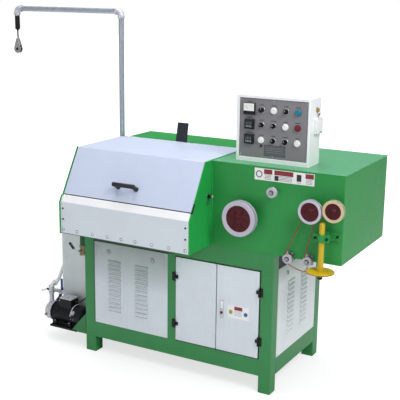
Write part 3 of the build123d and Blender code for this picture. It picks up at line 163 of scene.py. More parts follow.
def surface(
    name, colour, rough=0.4, metal=0.0, coat=0.0, mottle=0.05, mottle_scale=6.0, grain_depth=GRAIN_DEPTH,
    wear=None, wear_share=0.5, dirt=0.0, turned=False, specks=0.0, shine=0.5, shade=0.0, shade_from=0.46,
):
    """Painted, moulded or bare surface: mottled colour, uneven gloss, fine bump, worn edges and dirt.

    turned adds tool marks that run round the Y axis, and shade paints shade into the colour, greying it
    upwards from a level.
    """
    g = Graph(bpy.data.materials.new(name))
    place = g.node("ShaderNodeTexCoord").outputs["Object"]
    level = g.node("ShaderNodeSeparateXYZ", {"Vector": place}).outputs["Z"]
    broad = g.noise(place, mottle_scale, 4.0)
    fine = g.noise(place, GRAIN_SCALE, 2.0)
    base = linear(colour)[:3]
    dark = (*(c * (1 - mottle) for c in base), 1.0)
    pale = (*(min(1.0, c * (1 + mottle)) for c in base), 1.0)
    tint = g.mix(g.spread(broad, 0.35, 0.65), dark, pale)
    gloss = g.spread(broad, 0.3, 0.7, rough - 0.06, rough + 0.06)
    gloss = g.maths("ADD", gloss, g.spread(fine, 0.3, 0.7, -GRAIN_GLOSS, GRAIN_GLOSS))
    height = g.maths("MULTIPLY", fine, grain_depth)
    if turned:
        across = g.vector("MULTIPLY", place, (1.0, 0.0, 1.0))
        marks = g.noise(g.vector("LENGTH", across, output="Value"), MARK_SCALE, 3.0, 0.7)
        gloss = g.maths("ADD", gloss, g.spread(marks, 0.3, 0.7, -MARK_GLOSS, MARK_GLOSS))
        height = g.maths("ADD", height, g.maths("MULTIPLY", marks, MARK_DEPTH))
    if specks:
        spots = g.noise(place, SPECK_SCALE, 5.0, 0.75)
        mask = g.maths("MULTIPLY", g.spread(spots, 0.66, 0.72), specks)
        tint = g.mix(mask, tint, linear(DIRT))
        gloss = g.maths("ADD", gloss, g.maths("MULTIPLY", mask, 0.2))
    if dirt:
        runs = g.noise(g.vector("MULTIPLY", place, RUN_SCALES), 1.0, 4.0)
        low = g.spread(level, 0.0, DIRT_TOP, 1.0, 0.15)
        mask = g.maths("MULTIPLY", g.spread(runs, 0.45, 0.8), g.maths("MULTIPLY", low, dirt))
        tint = g.mix(mask, tint, linear(DIRT))
        gloss = g.maths("ADD", gloss, g.maths("MULTIPLY", mask, 0.25))
    # Painted shade: from shade_from up to SHADE_TOP the colour greys, standing in for the shadow that
    # overhanging parts cast
    if shade:
        uneven = g.spread(broad, 0.2, 0.7, 0.6, 1.0)
        film = g.maths("MULTIPLY", g.spread(level, shade_from, SHADE_TOP), uneven)
        tint = g.mix(g.maths("MULTIPLY", film, shade), tint, linear(PAINTED_SHADE_GREY))
    if wear:
        corner = g.node("ShaderNodeBevel", {"Radius": WORN_EDGE}, samples=4).outputs["Normal"]
        normal = g.node("ShaderNodeNewGeometry").outputs["Normal"]
        turn = g.vector("DOT_PRODUCT", corner, normal, "Value")
        chips = g.noise(place, CHIP_SCALE, 5.0, 0.7)
        edge = g.maths("MULTIPLY", g.spread(turn, 0.93, 0.80), g.spread(chips, 0.50, 0.66))
        tint = g.mix(g.maths("MULTIPLY", edge, wear_share), tint, linear(wear))
    bump = g.node("ShaderNodeBump", {"Height": height, "Distance": 1.0, "Strength": 1.0})
    inputs = {
        "Base Color": tint,
        "Roughness": gloss,
        "Metallic": metal,
        "Normal": bump.outputs["Normal"],
        "Specular IOR Level": shine,
        "Coat Weight": coat,
        "Coat Roughness": 0.08,
    }
    shader = g.node("ShaderNodeBsdfPrincipled", inputs).outputs[0]
    g.node("ShaderNodeOutputMaterial", {"Surface": shader})
    return g.owner


# Enamels of the cabinet, the housings and the chamber
M = {
    "green": surface(
        "green enamel", GREEN, 0.36, coat=0.03, wear="4E9A66", wear_share=0.3, dirt=0.04, mottle=0.04,
        shine=0.3,
    ),
    "rear_green": surface("rear green enamel", GREEN, 0.62, wear="5FA377", shine=0.12),
    # Painted sheen: a paler green for the housing's cover sheet, for the sheen that its top catches
    "cover_green": surface(
        "pale green cover enamel", "4CA672", 0.36, coat=0.1, wear="6FAE86", wear_share=0.3, mottle=0.04
    ),
    # Painted light: a brighter copy of the green for the chamber's tub, whose right end plate is lit from the
    # right, and for its joint flange
    "bright_green": surface(
        "bright green enamel", "23A34A", 0.36, coat=0.15, wear="4E9A66", wear_share=0.3, mottle=0.04
    ),
    # Painted shade: a dark green that stands in for shadow, on strips under the apron and on the drain sleeve
    "dark_green": surface("shaded green enamel", "1F5A38", 0.5, mottle=0.08),
    "frame": surface(
        "green frame enamel", "2D8A49", 0.40, coat=0.1, wear="7C8A80", dirt=0.10, mottle=0.04, specks=0.2
    ),
    "bracket": surface(
        "green bracket enamel", "2C7A42", 0.45, mottle=0.06, wear="6E7A70", dirt=0.15, specks=0.3
    ),
    "panel": surface(
        "pale panel enamel", PANEL_WHITE, 0.42, wear="9AA0A6", dirt=0.05, mottle=0.02, specks=0.1
    ),
    # Painted shade: the front panel's copy of the pale panel enamel greys towards its top, for the apron's
    # shadow
    "shaded_panel": surface(
        "pale front panel enamel", PANEL_WHITE, 0.42, wear="9AA0A6", dirt=0.05, mottle=0.02, shade=0.72
    ),
    # Painted light and shade: a whiter copy of the panel enamel for the right side panel, for the light that
    # falls on that side, greyed at its top for the housing's shadow
    "lit_side_panel": surface(
        "pale side panel enamel", "F4F8FC", 0.42, wear="9AA0A6", dirt=0.05, mottle=0.02, specks=0.1,
        shade=0.75, shade_from=0.62,
    ),
    "apron": surface(
        "white apron enamel", "DEE6EE", 0.45, wear="A8ADB2", dirt=0.04, mottle=0.02, specks=0.08
    ),
    "lid": surface("pale lid enamel", "C9D3E9", 0.40, wear="A2A8B6", dirt=0.02, mottle=0.02, shine=0.3),
    "box": surface("white box enamel", "F8F8FB", 0.40, wear="AEB2B6", dirt=0.04, mottle=0.02),
    "face": surface("grey face enamel", "868488", 0.50, mottle=0.03, grain_depth=0.0001),
    "slate": surface("dark slate enamel", "2B3036", 0.48, wear="6A7076", mottle=0.1, specks=0.2, shine=0.25),
    "tank": surface("pale tank enamel", "DCE2E5", 0.40, wear="98A09E", dirt=0.06, mottle=0.04, specks=0.1),
    "motor": surface(
        "black motor enamel", "141518", 0.36, wear="55585A", mottle=0.2, specks=0.3, grain_depth=0.0002,
        shine=0.25,
    ),
}

# Wheels, belt and stem
M |= {
    "wheel": surface("pale violet wheel enamel", "C4BFD0", 0.38, wear="8C8A92", turned=True),
    "roller": surface("pale grey roller enamel", "C9C6D2", 0.38, wear="8C8A92", turned=True),
    "beige": surface("beige roller enamel", "D6C19B", 0.42, wear="9A8B70", mottle=0.08, turned=True),
    "red": surface(
        "dark red disc enamel", "4F101A", 0.30, coat=0.15, mottle=0.14, mottle_scale=30.0, turned=True,
        shine=0.2,
    ),
    "pulley": surface("pale pulley nylon", "BDBBC6", 0.40, turned=True),
    "belt": surface("red-brown belt", "96462F", 0.62, mottle=0.12, mottle_scale=60.0, grain_depth=0.0002),
    "yellow": surface("yellow enamel", "D4B40C", 0.36, coat=0.2, wear="9A7430", mottle=0.06, specks=0.25),
}

# Bare metals
M |= {
    "steel": surface("plain steel", "A6A8AA", 0.34, 1.0, mottle=0.08, turned=True, specks=0.2),
    "bright": surface("bright zinc plate", "C9CACC", 0.28, 1.0, mottle=0.10, mottle_scale=60.0),
    "dark_steel": surface("blackened steel", "2A2A2C", 0.42, 0.8, mottle=0.2, mottle_scale=40.0),
    "pipe": surface("galvanised pipe", "BEC6D2", 0.34, 0.8, mottle_scale=30.0, specks=0.05),
    "elbow": surface(
        "pale zinc fitting", "D2D3DE", 0.38, 0.35, mottle=0.12, mottle_scale=45.0, grain_depth=0.0003
    ),
    "silver": surface(
        "cast aluminium", "BFC0C2", 0.40, 0.9, mottle=0.12, mottle_scale=50.0, grain_depth=0.0003
    ),
    "casting": surface(
        "silver pump casting", "CFD1D8", 0.42, 0.6, mottle=0.16, mottle_scale=50.0, grain_depth=0.0005
    ),
    "brass": surface("dull brass", "8E8264", 0.40, 0.7, mottle=0.3, mottle_scale=60.0, specks=0.4),
    "latch": surface("dull zinc latch", "BEC4C5", 0.5, mottle=0.1),
    "zinc": surface("pale zinc screws", "F4F5F7", 0.30, 0.35, mottle=0.06),
    "plate_grey": surface("grey anodised plate", "67686C", 0.42, 0.3),
}

# Plastics, rubber, prints and grease
M |= {
    "black": surface("black moulded plastic", "17181A", 0.42, mottle=0.15, grain_depth=0.00012, shine=0.3),
    "black_gloss": surface("black glossy plastic", "101114", 0.22, mottle=0.1),
    "white_plastic": surface("white moulded plastic", "F4F4F2", 0.28, mottle=0.02),
    "teal": surface("blue-green plastic", "187A96", 0.26, mottle=0.06),
    "red_plastic": surface("red plastic", "75102F", 0.26, mottle=0.06),
    "amber": surface("amber plastic", "9C7C30", 0.25, mottle=0.1),
    "pipe_white": surface("white plastic pipe", "E9EDF0", 0.34, mottle=0.03, dirt=0.15),
    "blue": surface("blue fitting", "1D4F9C", 0.34, mottle=0.08),
    "hose_blue": surface("dark blue hose", "39416E", 0.4, mottle=0.1),
    "cable": surface("black cable sheath", "141416", 0.50, mottle=0.1, grain_depth=0.0001),
    "seal": surface("dark rubber seal", "1E1E1E", 0.6, mottle=0.1),
    "label": surface("plain label", "F3F3F1", 0.42, mottle=0.02),
    "rule": surface("printed grey", "8C8F94", 0.5),
    "rule_red": surface("printed dull red", "8A2B33", 0.5),
    "yellow_ink": surface("printed olive", "A89A2A", 0.5),
    "blue_ink": surface("printed blue", "2C5AA0", 0.5),
    "dial": surface("dial print", "2A2B30", 0.5),
    "screen": surface("dark display", "2E3138", 0.16, mottle=0.1),
    "digit": surface("display segments", "9AA2AA", 0.3),
    # Painted shadow: a grey for the lines below the louvres
    "film": surface("painted shadow grey", "8C9495", 0.5, mottle=0.15, mottle_scale=30.0),
}


def bevel(made, width, angle=35.0, segments=2):
    """Rounds the edges that turn by more than an angle."""
    edge = made.modifiers.new("edge", "BEVEL")
    edge.width = width * MM
    edge.segments = segments
    edge.limit_method = "ANGLE"
    edge.angle_limit = radians(angle)
    edge.harden_normals = True
    return edge


def soften(node, width, angle):
    """Rounds the real edges of a CAD node a little, so that they catch the light."""
    if "custom_normal" in node.data.attributes:
        node.data.attributes.remove(node.data.attributes["custom_normal"])
    node.data.polygons.foreach_set("use_smooth", [True] * len(node.data.polygons))
    weld = node.modifiers.new("weld", "WELD")
    weld.merge_threshold = 0.01 * MM
    flat = node.modifiers.new("flat", "DECIMATE")
    flat.decimate_type = "DISSOLVE"
    flat.angle_limit = radians(0.5)
    bevel(node, width, angle).miter_outer = "MITER_ARC"


def dress(material, edge, *names, angle=35.0):
    """Gives CAD nodes their material and, where edge is a width, softened edges."""
    for name in names:
        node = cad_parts[name]
        node.data.materials.clear()
        node.data.materials.append(M[material])
        if edge:
            soften(node, edge, angle)


dress("frame", 0.3, "frame_rails", "frame_posts")
dress("bracket", 0.8, "cabinet_floor", "left_brackets")
dress("shaded_panel", 0, "front_panel")
dress("lit_side_panel", 0, "right_panel")
dress("panel", 0.3, "plain_panels", "left_door", "right_door")
dress("black", 0.6, "post_hinges", "left_door_hinges", "right_door_hinges")
dress("casting", 0.8, "door_latch")
dress("green", 1.0, "gear_housing", "stem_clamp")
dress("rear_green", 1.0, "rear_housing")
dress("bright_green", 0.8, "chamber_tub")
dress("apron", 0.6, "apron")
dress("lid", 0.6, "lid")
dress("lid", 0.3, "lid_hinge_base", "lid_hinge_leaves")
dress("slate", 0.8, "lid_handle", "lid_backstop")
dress("box", 1.5, "control_box")
dress("face", 0.3, "control_face")
dress("black", 0.6, "panel_instruments", "panel_selectors", "cable_glands")
dress("white_plastic", 0.8, "white_buttons")
dress("teal", 0.8, "green_button")
dress("red_plastic", 0.8, "red_button")
dress("wheel", 1.5, "capstan_rim")
dress("roller", 1.2, "left_roller_rim")
dress("beige", 1.2, "right_roller_rim")
dress("red", 0.8, "capstan_disc", "left_roller_disc", "right_roller_disc")
dress("pulley", 0.8, "guide_pulley", "left_belt_pulley", "right_belt_pulley")
dress("steel", 0.6, "wheel_studs")
dress("belt", 0.2, "drive_belt", angle=60.0)
dress("yellow", 0.8, "guide_stem", "stem_disc")
dress("pipe", 0.5, "gantry_post", "gantry_arm")
dress("dark_steel", 0.5, "gantry_hanger")
dress("elbow", 1.2, "gantry_elbows")
dress("silver", 1.5, "pulley_block")
dress("black", 0.5, "block_sheave")
dress("bracket", 1.0, "pipe_clamps")
dress("motor", 1.0, "pump_motor")
dress("casting", 2.0, "pump_casing")
dress("pipe_white", 0.5, "delivery_pipe")
dress("tank", 1.0, "coolant_tank")
dress("brass", 1.0, "drain_valve")
dress("bright", 0.5, "valve_lever")


def add_object(name, data):
    made = bpy.data.objects.new(name, data)
    bpy.context.scene.collection.objects.link(made)
    return made


def piece(name, bm, material, body="base", edge=0.0, smooth=True, segments=2):
    """Object made from a bmesh, riding on a body, its edges rounded where edge is a width."""
    bmesh.ops.recalc_face_normals(bm, faces=bm.faces)
    mesh = bpy.data.meshes.new(name)
    for face in bm.faces:
        face.smooth = smooth
    bm.to_mesh(mesh)
    bm.free()
    made = add_object(name, mesh)
    for key in [material] if isinstance(material, str) else material:
        mesh.materials.append(M[key])
    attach(made, body)
    if edge:
        bevel(made, edge, segments=segments)
    return made


def facing(origin, axis, spin=0.0):
    """Matrix whose local Z looks along an axis; local Y stays as upright as it can."""
    z = Vector(axis).normalized()
    helper = UP if abs(z.dot(UP)) < 0.99 else REAR
    x = helper.cross(z).normalized()
    y = z.cross(x)
    turn = Matrix((x, y, z)).transposed().to_4x4()
    return Matrix.Translation(origin) @ turn @ Matrix.Rotation(spin, 4, "Z")


def disc(radius, height):
    """Outline of a plain turned disc."""
    return ((0, 0), (radius, 0), (radius, height), (0, height))


def ring(inner, outer, height):
    """Outline of a plain turned ring."""
    return ((inner, 0), (outer, 0), (outer, height), (inner, height), (inner, 0))


def skin(bm, rings, material=0):
    """Faces between rings of corners, where a ring may be one corner."""
    for lower, upper in zip(rings, rings[1:]):
        count = max(len(lower), len(upper))
        for i in range(count):
            j = (i + 1) % count
            ends = [ring[k % len(ring)] for ring, k in ((lower, i), (upper, i), (upper, j), (lower, j))]
            bm.faces.new(list(dict.fromkeys(ends))).material_index = material


def add_prism(bm, points, lift):
    """Prism from a closed outline and the way to its other end."""
    lower = [bm.verts.new(point) for point in points]
    upper = [bm.verts.new(point + lift) for point in points]
    bm.faces.new(list(reversed(lower)))
    bm.faces.new(upper)
    skin(bm, [lower, upper])


def add_lathe(bm, outline, place, segments=32, material=0):
    """Turned shape: the outline is in (radius, height) millimetres along local Z."""
    rings = []
    for radius, height in outline:
        count = segments if radius else 1
        angles = [2 * pi * i / count for i in range(count)]
        points = [Vector((radius * cos(a), radius * sin(a), height)) * MM for a in angles]
        rings.append([bm.verts.new(place @ point) for point in points])
    skin(bm, rings, material)


def lathe(name, outline, origin, axis, material, body="base", segments=32, edge=0.4):
    bm = bmesh.new()
    add_lathe(bm, outline, facing(origin, axis), segments)
    return piece(name, bm, material, body, edge)


def lathes(name, outline, spots, axis, material, segments=32, smooth=True):
    """Piece of like turned shapes."""
    bm = bmesh.new()
    for spot in spots:
        add_lathe(bm, outline, facing(spot, axis), segments)
    return piece(name, bm, material, smooth=smooth)


def add_boxes(bm, boxes, place=None):
    """Boxes, each six millimetres for its low and high corner and then a material number if it isn't 0."""
    place = place or Matrix.Translation(at(0, 0, 0))
    for x0, y0, z0, x1, y1, z1, *number in boxes:
        low, high = Vector((x0, y0, z0)) * MM, Vector((x1, y1, z1)) * MM
        scale = Matrix.Diagonal((*(high - low), 1.0))
        matrix = place @ Matrix.Translation((low + high) / 2) @ scale
        made = bmesh.ops.create_cube(bm, size=1.0, matrix=matrix)
        for face in {f for v in made["verts"] for f in v.link_faces}:
            face.material_index = sum(number)


def blocks(name, boxes, material, body="base", place=None, edge=0.0, segments=2, flat=False):
    """Piece made of boxes, in the millimetres of at() or of a place; smooth where it is rounded."""
    bm = bmesh.new()
    add_boxes(bm, boxes, place)
    return piece(name, bm, material, body, edge, edge > 0 and not flat, segments)


def plate(name, width, height, thickness, origin, axis, material, body="base", edge=0.4, corner=0.0):
    """Flat plate seated on a surface, its middle at the origin, with round corners if asked."""
    place = facing(origin, axis)
    if not corner:
        box = (-width / 2, -height / 2, 0, width / 2, height / 2, thickness)
        return blocks(name, [box], material, body, place, edge)
    bm = bmesh.new()
    points = []
    for side_x, side_y, start in ((1, 1, 0), (-1, 1, 90), (-1, -1, 180), (1, -1, 270)):
        for step in range(5):
            angle = radians(start + step * 22.5)
            x = side_x * (width / 2 - corner) + corner * cos(angle)
            y = side_y * (height / 2 - corner) + corner * sin(angle)
            points.append(place @ Vector((x * MM, y * MM, 0)))
    add_prism(bm, points, Vector(axis).normalized() * thickness * MM)
    return piece(name, bm, material, body, edge)


def sheet(name, points, left, right, material, edge=0.5):
    """Sheet between two sides, from a closed outline of (y, z) points in millimetres."""
    bm = bmesh.new()
    add_prism(bm, [at(left, y, z) for y, z in points], RIGHT * (right - left) * MM)
    return piece(name, bm, material, edge=edge, smooth=False)


TUBE_SIDES = 20


def tube(name, points, radius, material, bend):
    """Round pipe through points in millimetres, its corners rounded."""
    spots = [at(*point) for point in points]
    path = [spots[0]]
    for before, corner, after in zip(spots, spots[1:], spots[2:]):
        inward = (before - corner).normalized() * bend * MM
        outward = (after - corner).normalized() * bend * MM
        for step in range(9):
            t = step / 8
            path.append(corner + inward * (1 - t) ** 2 + outward * t**2)
    path.append(spots[-1])
    bm = bmesh.new()
    side = (path[1] - path[0]).orthogonal().normalized()
    angles = [2 * pi * i / TUBE_SIDES for i in range(TUBE_SIDES)]
    rings = []
    for number, spot in enumerate(path):
        ahead = path[min(number + 1, len(path) - 1)] - path[max(number - 1, 0)]
        ahead.normalize()
        side = (side - ahead * side.dot(ahead)).normalized()
        across = ahead.cross(side)
        points = [spot + (side * cos(a) + across * sin(a)) * radius * MM for a in angles]
        rings.append([bm.verts.new(point) for point in points])
    skin(bm, rings)
    bm.faces.new(list(reversed(rings[0])))
    bm.faces.new(rings[-1])
    return piece(name, bm, material, edge=0.5)


def grid(*rows):
    """Spots at all meetings of x, y and z, each one number or several."""
    xs, ys, zs = (row if isinstance(row, tuple) else (row,) for row in rows)
    return [at(x, y, z) for x in xs for y in ys for z in zs]


WASHER = 1.2


def bolts(name, places, axis, radius, height, material, washer=True):
    """Hex heads, each on a washer, turned by chance as real ones are."""
    bm = bmesh.new()
    chance = random.Random(len(name) * 17 + len(places))
    head = ((0, 0), (radius, 0), (radius, height * 0.82), (radius * 0.86, height), (0, height))
    for spot in places:
        if washer:
            add_lathe(bm, disc(radius * 1.35, WASHER), facing(spot, axis), 20)
        seat = spot + axis * WASHER * MM if washer else spot
        add_lathe(bm, head, facing(seat, axis, chance.uniform(0, pi / 3)), 6)
    return piece(name, bm, material, edge=0.3)


def domes(name, places, axis, radius, height, material, body="base"):
    """Domed screw heads with a slot."""
    heads, slots = bmesh.new(), bmesh.new()
    chance = random.Random(len(name) * 31 + len(places))
    rise = [(radius * cos(a), height * sin(a)) for a in (0.0, 0.4, 0.8, 1.15)]
    half = radius * 0.75
    for spot in places:
        place = facing(spot, axis, chance.uniform(0, pi))
        add_lathe(heads, ((0, 0), *rise, (0, height)), place, 18)
        add_boxes(slots, [(-half, -0.4, height * 0.7, half, 0.4, height + 0.15)], place)
    piece(name, heads, material, body)
    piece(name + "_slots", slots, "dial", body, smooth=False)


# Apron bolts along its lower edge and up both sides; the grey washers under the lower row are real washers
# whose dark grey also paints the heads' shadows
APRON_BOLT_LEVEL = 843
bolt_row = grid((40, 138, 246, 349, 444, 536, 646, 752, 857), APRON_FACE, APRON_BOLT_LEVEL)
domes("apron_bolts", bolt_row, FRONT, 6.6, 4.8, "zinc")
lathes("apron_shadow_washers", disc(9, 0.8), bolt_row, FRONT, "plate_grey", 24)
domes("apron_side_bolts", grid((40, 857), APRON_FACE, (905, 968)), FRONT, 6.0, 3.6, "dark_steel")

# Chamber: flanges up the left end and along the slope, a whiter band on the apron's fold that paints
# its highlight, a strip on the apron, and a flange in the lit green that joins the right end to the housing
FOLD = ((-254, 816), (-254, 1004), (-231, 1046), (-221, 1040), (-244, 1002), (-244, 816))
SLOPE = ((-231, 1046), (-81, 1306), (-72, 1301), (-221, 1040))
APRON_END = ((-250, 823), (-250, 1004), (-229, 1043), (-219, 1038), (-240, 1001), (-240, 823))
APRON_HIGHLIGHT_BAND = ((-226.7, 1046.5), (-249.1, 1007.5), (-248.5, 1007.2), (-226.1, 1046.2))
sheet("left_end_flange", FOLD, 15, 24, "green")
sheet("left_slope_flange", SLOPE, 22, 26, "green")
sheet("apron_highlight_band", APRON_HIGHLIGHT_BAND, 31.5, 874.5, "box", edge=0.1)
sheet("apron_end_strip", APRON_END, 24, 30, "apron")
blocks("joint_flange", [(TUB_RIGHT, -8, 832, TUB_RIGHT + 6, 0, 1262)], "bright_green", edge=1.2, flat=True)

# Dark strips: one above the right panel paints the shadow under the housing's overhang; the others close the
# gaps round the doors and above and beside the front panel
STRIP = 1.2
closing_and_shadow_strips = [
    (FRAME_RIGHT, 77, 719, FRAME_RIGHT + STRIP, 623, 818),
    (652, -STRIP, 710.6, 1189, 0, 716),
    (1185.6, -STRIP, 202, 1189, 0, 710.6),
    (652, -STRIP, 198.5, 1189, 0, 202),
    (72, -STRIP, 718, 598, 0, 724),
    (71.5, -STRIP, 198, 75, 0, 723),
]
blocks("closing_and_shadow_strips", closing_and_shadow_strips, "seal")

# Painted shadow: a dark green strip above the front panel and a dark line under the apron's edge, where the
# apron's shadow falls
apron_shadow = (31.5, APRON_FACE + 0.6, 819.7, 874.5, APRON_FACE + 2.9, 822.9)
blocks("panel_top_shadow_strip", [(76, -STRIP, 724, 640, 0, 792), apron_shadow], "dark_green")

# Welds that close the joints between the posts and the rails, and a sleeve on the drain stub
weld_runs = ((75, 101, 197), (75, 724, 819), (1190, 101, 197), (1190, 719, 819))
frame_welds = [(x - 4, -0.5, low, x + 4, 0.5, high) for x, low, high in weld_runs]
blocks("frame_welds", frame_welds, "frame", edge=0.3, flat=True)
DRAIN_X, DRAIN_Y, DRAIN_END = 61, -100, 714
# The sleeve is painted in the dark shade green
lathe("drain_sleeve", disc(14, 100), at(DRAIN_X, DRAIN_Y, DRAIN_END), UP, "dark_green")

# Knob and small clip on the chamber's right end plate
KNOB = ((0, 0), (9, 0), (9, 4), (5, 5), (5, 10), (11, 12), (13, 17), (12, 23), (8, 27), (0, 28))
KNOB_Y, KNOB_Z = -48, 1107
lathe("side_knob", KNOB, at(TUB_RIGHT, KNOB_Y, KNOB_Z), RIGHT, "black_gloss")
knob_end = at(TUB_RIGHT + KNOB[-1][1], KNOB_Y, KNOB_Z)
lathe("side_knob_cap", ((0, 0), (8, 0), (7, 1.6), (0, 2)), knob_end, RIGHT, "zinc")
KNOB_RING = ((0, 0), (13, 0), (13, 2.5), (9, 3), (0, 3))
lathe("side_knob_ring", KNOB_RING, at(TUB_RIGHT, KNOB_Y, KNOB_Z), RIGHT, "bright")
plate("side_clip", 22, 30, 8, at(TUB_RIGHT, -50, 1072), RIGHT, "bracket", edge=1.2)

# Black rubber seal in the gap below the lid, turned up beside the lid's right corner
SLOPE_TOP = at(0, -79, 1303)
SLOPE_DOWN = Vector((0, -0.4977, -0.8673))
SLOPE_OUT = Vector((0, -0.8673, 0.4977))
slope_place = Matrix((RIGHT, -SLOPE_DOWN, SLOPE_OUT)).transposed().to_4x4()
slope_place.translation = SLOPE_TOP
SEAL_LOW, SEAL_HIGH = -296.4, -291.8
lid_seal = [
    (36.0, SEAL_LOW, -3.0, 870.0, SEAL_HIGH, 0.6),
    (880.2, SEAL_LOW, -8.0, 884.2, -242.0, 2.5),
    (870.0, SEAL_LOW, -3.0, 884.2, SEAL_HIGH, 2.5),
]
blocks("lid_seal", lid_seal, "seal", place=slope_place)

# Cover sheet of the gear housing, that laps over its sides, with screws; its paler green is painted sheen
COVER = 3
cover = (HOUSING_LEFT + 1, -2, HOUSING_TOP, HOUSING_RIGHT + 2, HOUSING_REAR + 2, HOUSING_TOP + COVER)
blocks("housing_cover", [cover], "cover_green", edge=0.8)
cover_places = (
    (905, 22), (905, 350), (905, 655), (1250, 350), (1250, 655), (1622, 22), (1622, 350), (1622, 655),
)
domes("cover_screws", [at(x, y, HOUSING_TOP + COVER) for x, y in cover_places], UP, 5.5, 2.6, "bright")

# Bare label strip on the front of the gear housing, with plain printed fields
LABEL = 0.8
INK = 0.2
label_middle = at(1308, 0, 1255)
label_place = facing(label_middle + FRONT * LABEL * MM, FRONT)
plate("housing_label", 342, 64, LABEL, label_middle, FRONT, "label", edge=0.2, corner=2.0)
label_fields = [(left, 4, 0, left + width, 29, INK, 1) for left, width in ((-116, 48), (-56, 108), (121, 46))]
for left, width in ((-116, 48), (-56, 108), (68, 34), (121, 46)):
    for row in range(4):
        level = -2 - row * 7.5
        label_fields.append((left + 4, level, 0, left + width - 6, level + 3, INK))
blocks("housing_label_fields", label_fields, ["rule", "rule_red"], place=label_place)
label_marks = bmesh.new()
add_lathe(label_marks, ring(14, 19, 0.3), label_place @ Matrix.Translation((-144 * MM, 0, 0)))
add_boxes(label_marks, [(-54, -26, INK, -32, 0, 0.5), (72, -14, INK, 98, 20, 0.5)], label_place)
piece("housing_label_ring", label_marks, "dial", smooth=False)

# Bare plate on the right door
door_label = at(1058, 0, 449)
door_place = facing(door_label + FRONT * LABEL * MM, FRONT)
plate("door_label", 132, 76, LABEL, door_label, FRONT, "box", "right_door", 0.2, 2.0)
door_fields = bmesh.new()
add_boxes(door_fields, [(-24, 12, 0, 26, 33, INK, 1), (-57, -14, 0, -36, 8, INK, 3)], door_place)
add_boxes(door_fields, [(-24, 4 - row * 8, 0, 24, 6 - row * 8, INK) for row in range(4)], door_place)
add_lathe(door_fields, disc(12, INK), door_place @ Matrix.Translation((47 * MM, -4 * MM, 0)), 28, 2)
door_inks = ["rule", "rule_red", "blue_ink", "yellow_ink"]
piece("door_label_fields", door_fields, door_inks, "right_door", smooth=False)

# Painted shadow: grey lines on the panels just below the louvres' mouths, where the hoods cast shade
SHADOW_LINE = 0.3
louvre_shadow_lines = []
for row in range(12):
    low, high = 593.5 - row * 27.6, 598.0 - row * 27.6
    louvre_shadow_lines += [(x - 43, -SHADOW_LINE, low, x + 43, 0, high) for x in (221.5, 413.5)]
    louvre_shadow_lines += [(FRAME_RIGHT, y - 43, low, FRAME_RIGHT + SHADOW_LINE, y + 43, high) for y in (249, 437)]
blocks("louvre_shadow_lines", louvre_shadow_lines, "film")

# Round quarter-turn latches of the panels
LATCH = ((0, 0), (14, 0), (14, 2.4), (12.5, 3.4), (9, 3.4), (8.4, 2.2), (0, 2.2))
LATCH_FACE = 2.2
for number, (x, z) in enumerate(((178.6, 664), (488.5, 659))):
    lathe(f"panel_latch_seat_{number}", disc(16.5, 0.8), at(x, 0, z), FRONT, "plate_grey")
    lathe(f"panel_latch_{number}", LATCH, at(x, -0.8, z), FRONT, "latch")
    plate(f"panel_latch_key_{number}", 3, 12, 1.4, at(x, -2.8, z), FRONT, "dark_steel", edge=0.3)
lathe("side_panel_latch", LATCH, at(FRAME_RIGHT, 199.5, 665), RIGHT, "latch")
side_key = at(FRAME_RIGHT + LATCH_FACE, 199.5, 665)
plate("side_panel_latch_key", 3, 12, 1.4, side_key, RIGHT, "dark_steel", edge=0.3)
for number, x in enumerate((150, 520, 720, 1115)):
    lathe(f"rear_latch_{number}", LATCH, at(x, FRAME_REAR, 668), REAR, "bright")

# Door latch: a red push button and a flap over the key
latch_x = middle("door_latch")[0]
latch_front = span("door_latch")[0][1]
BUTTON = ((0, 0), (9, 0), (9, 1.2), (8, 2.2), (0, 2.6))
lathe("latch_button", BUTTON, at(latch_x, latch_front, 433), FRONT, "red_plastic", "right_door", 24)
plate("latch_flap", 15, 44, 2.0, at(latch_x, latch_front + 3, 480), FRONT, "box", "right_door", 0.6, 3.0)

# Screws of the door hinges
HINGE_LEVELS = (305, 592)
for side, post_x, door_x in (("left", 635.5, 662.5), ("right", 1200.5, 1173.5)):
    post_spots = [at(post_x, -5, z + rise) for z in HINGE_LEVELS for rise in (-14, 14)]
    domes(f"{side}_post_hinge_screws", post_spots, FRONT, 3.6, 1.4, "dark_steel")
    door_spots = [at(door_x, -5, z + rise) for z in HINGE_LEVELS for rise in (-5, 5)]
    domes(f"{side}_door_hinge_screws", door_spots, FRONT, 3.2, 1.3, "dark_steel", f"{side}_door")

# Strainer over the chamber's drain
TUB_FLOOR = 826.0
STRAINER = ((0, 0), (38, 0), (38, 2), (30, 5), (26, 5), (26, 3), (0, 3))
lathe("drain_strainer", STRAINER, at(DRAIN_X, DRAIN_Y, TUB_FLOOR), UP, "steel", segments=48)
strainer_spots = []
for reach, count in ((8.0, 6), (16.0, 12)):
    for number in range(count):
        angle = 2 * pi * number / count
        strainer_spots.append(at(DRAIN_X + reach * cos(angle), DRAIN_Y + reach * sin(angle), TUB_FLOOR + 3))
lathes("strainer_holes", disc(2.4, 0.3), strainer_spots, UP, "dial", 12, smooth=False)

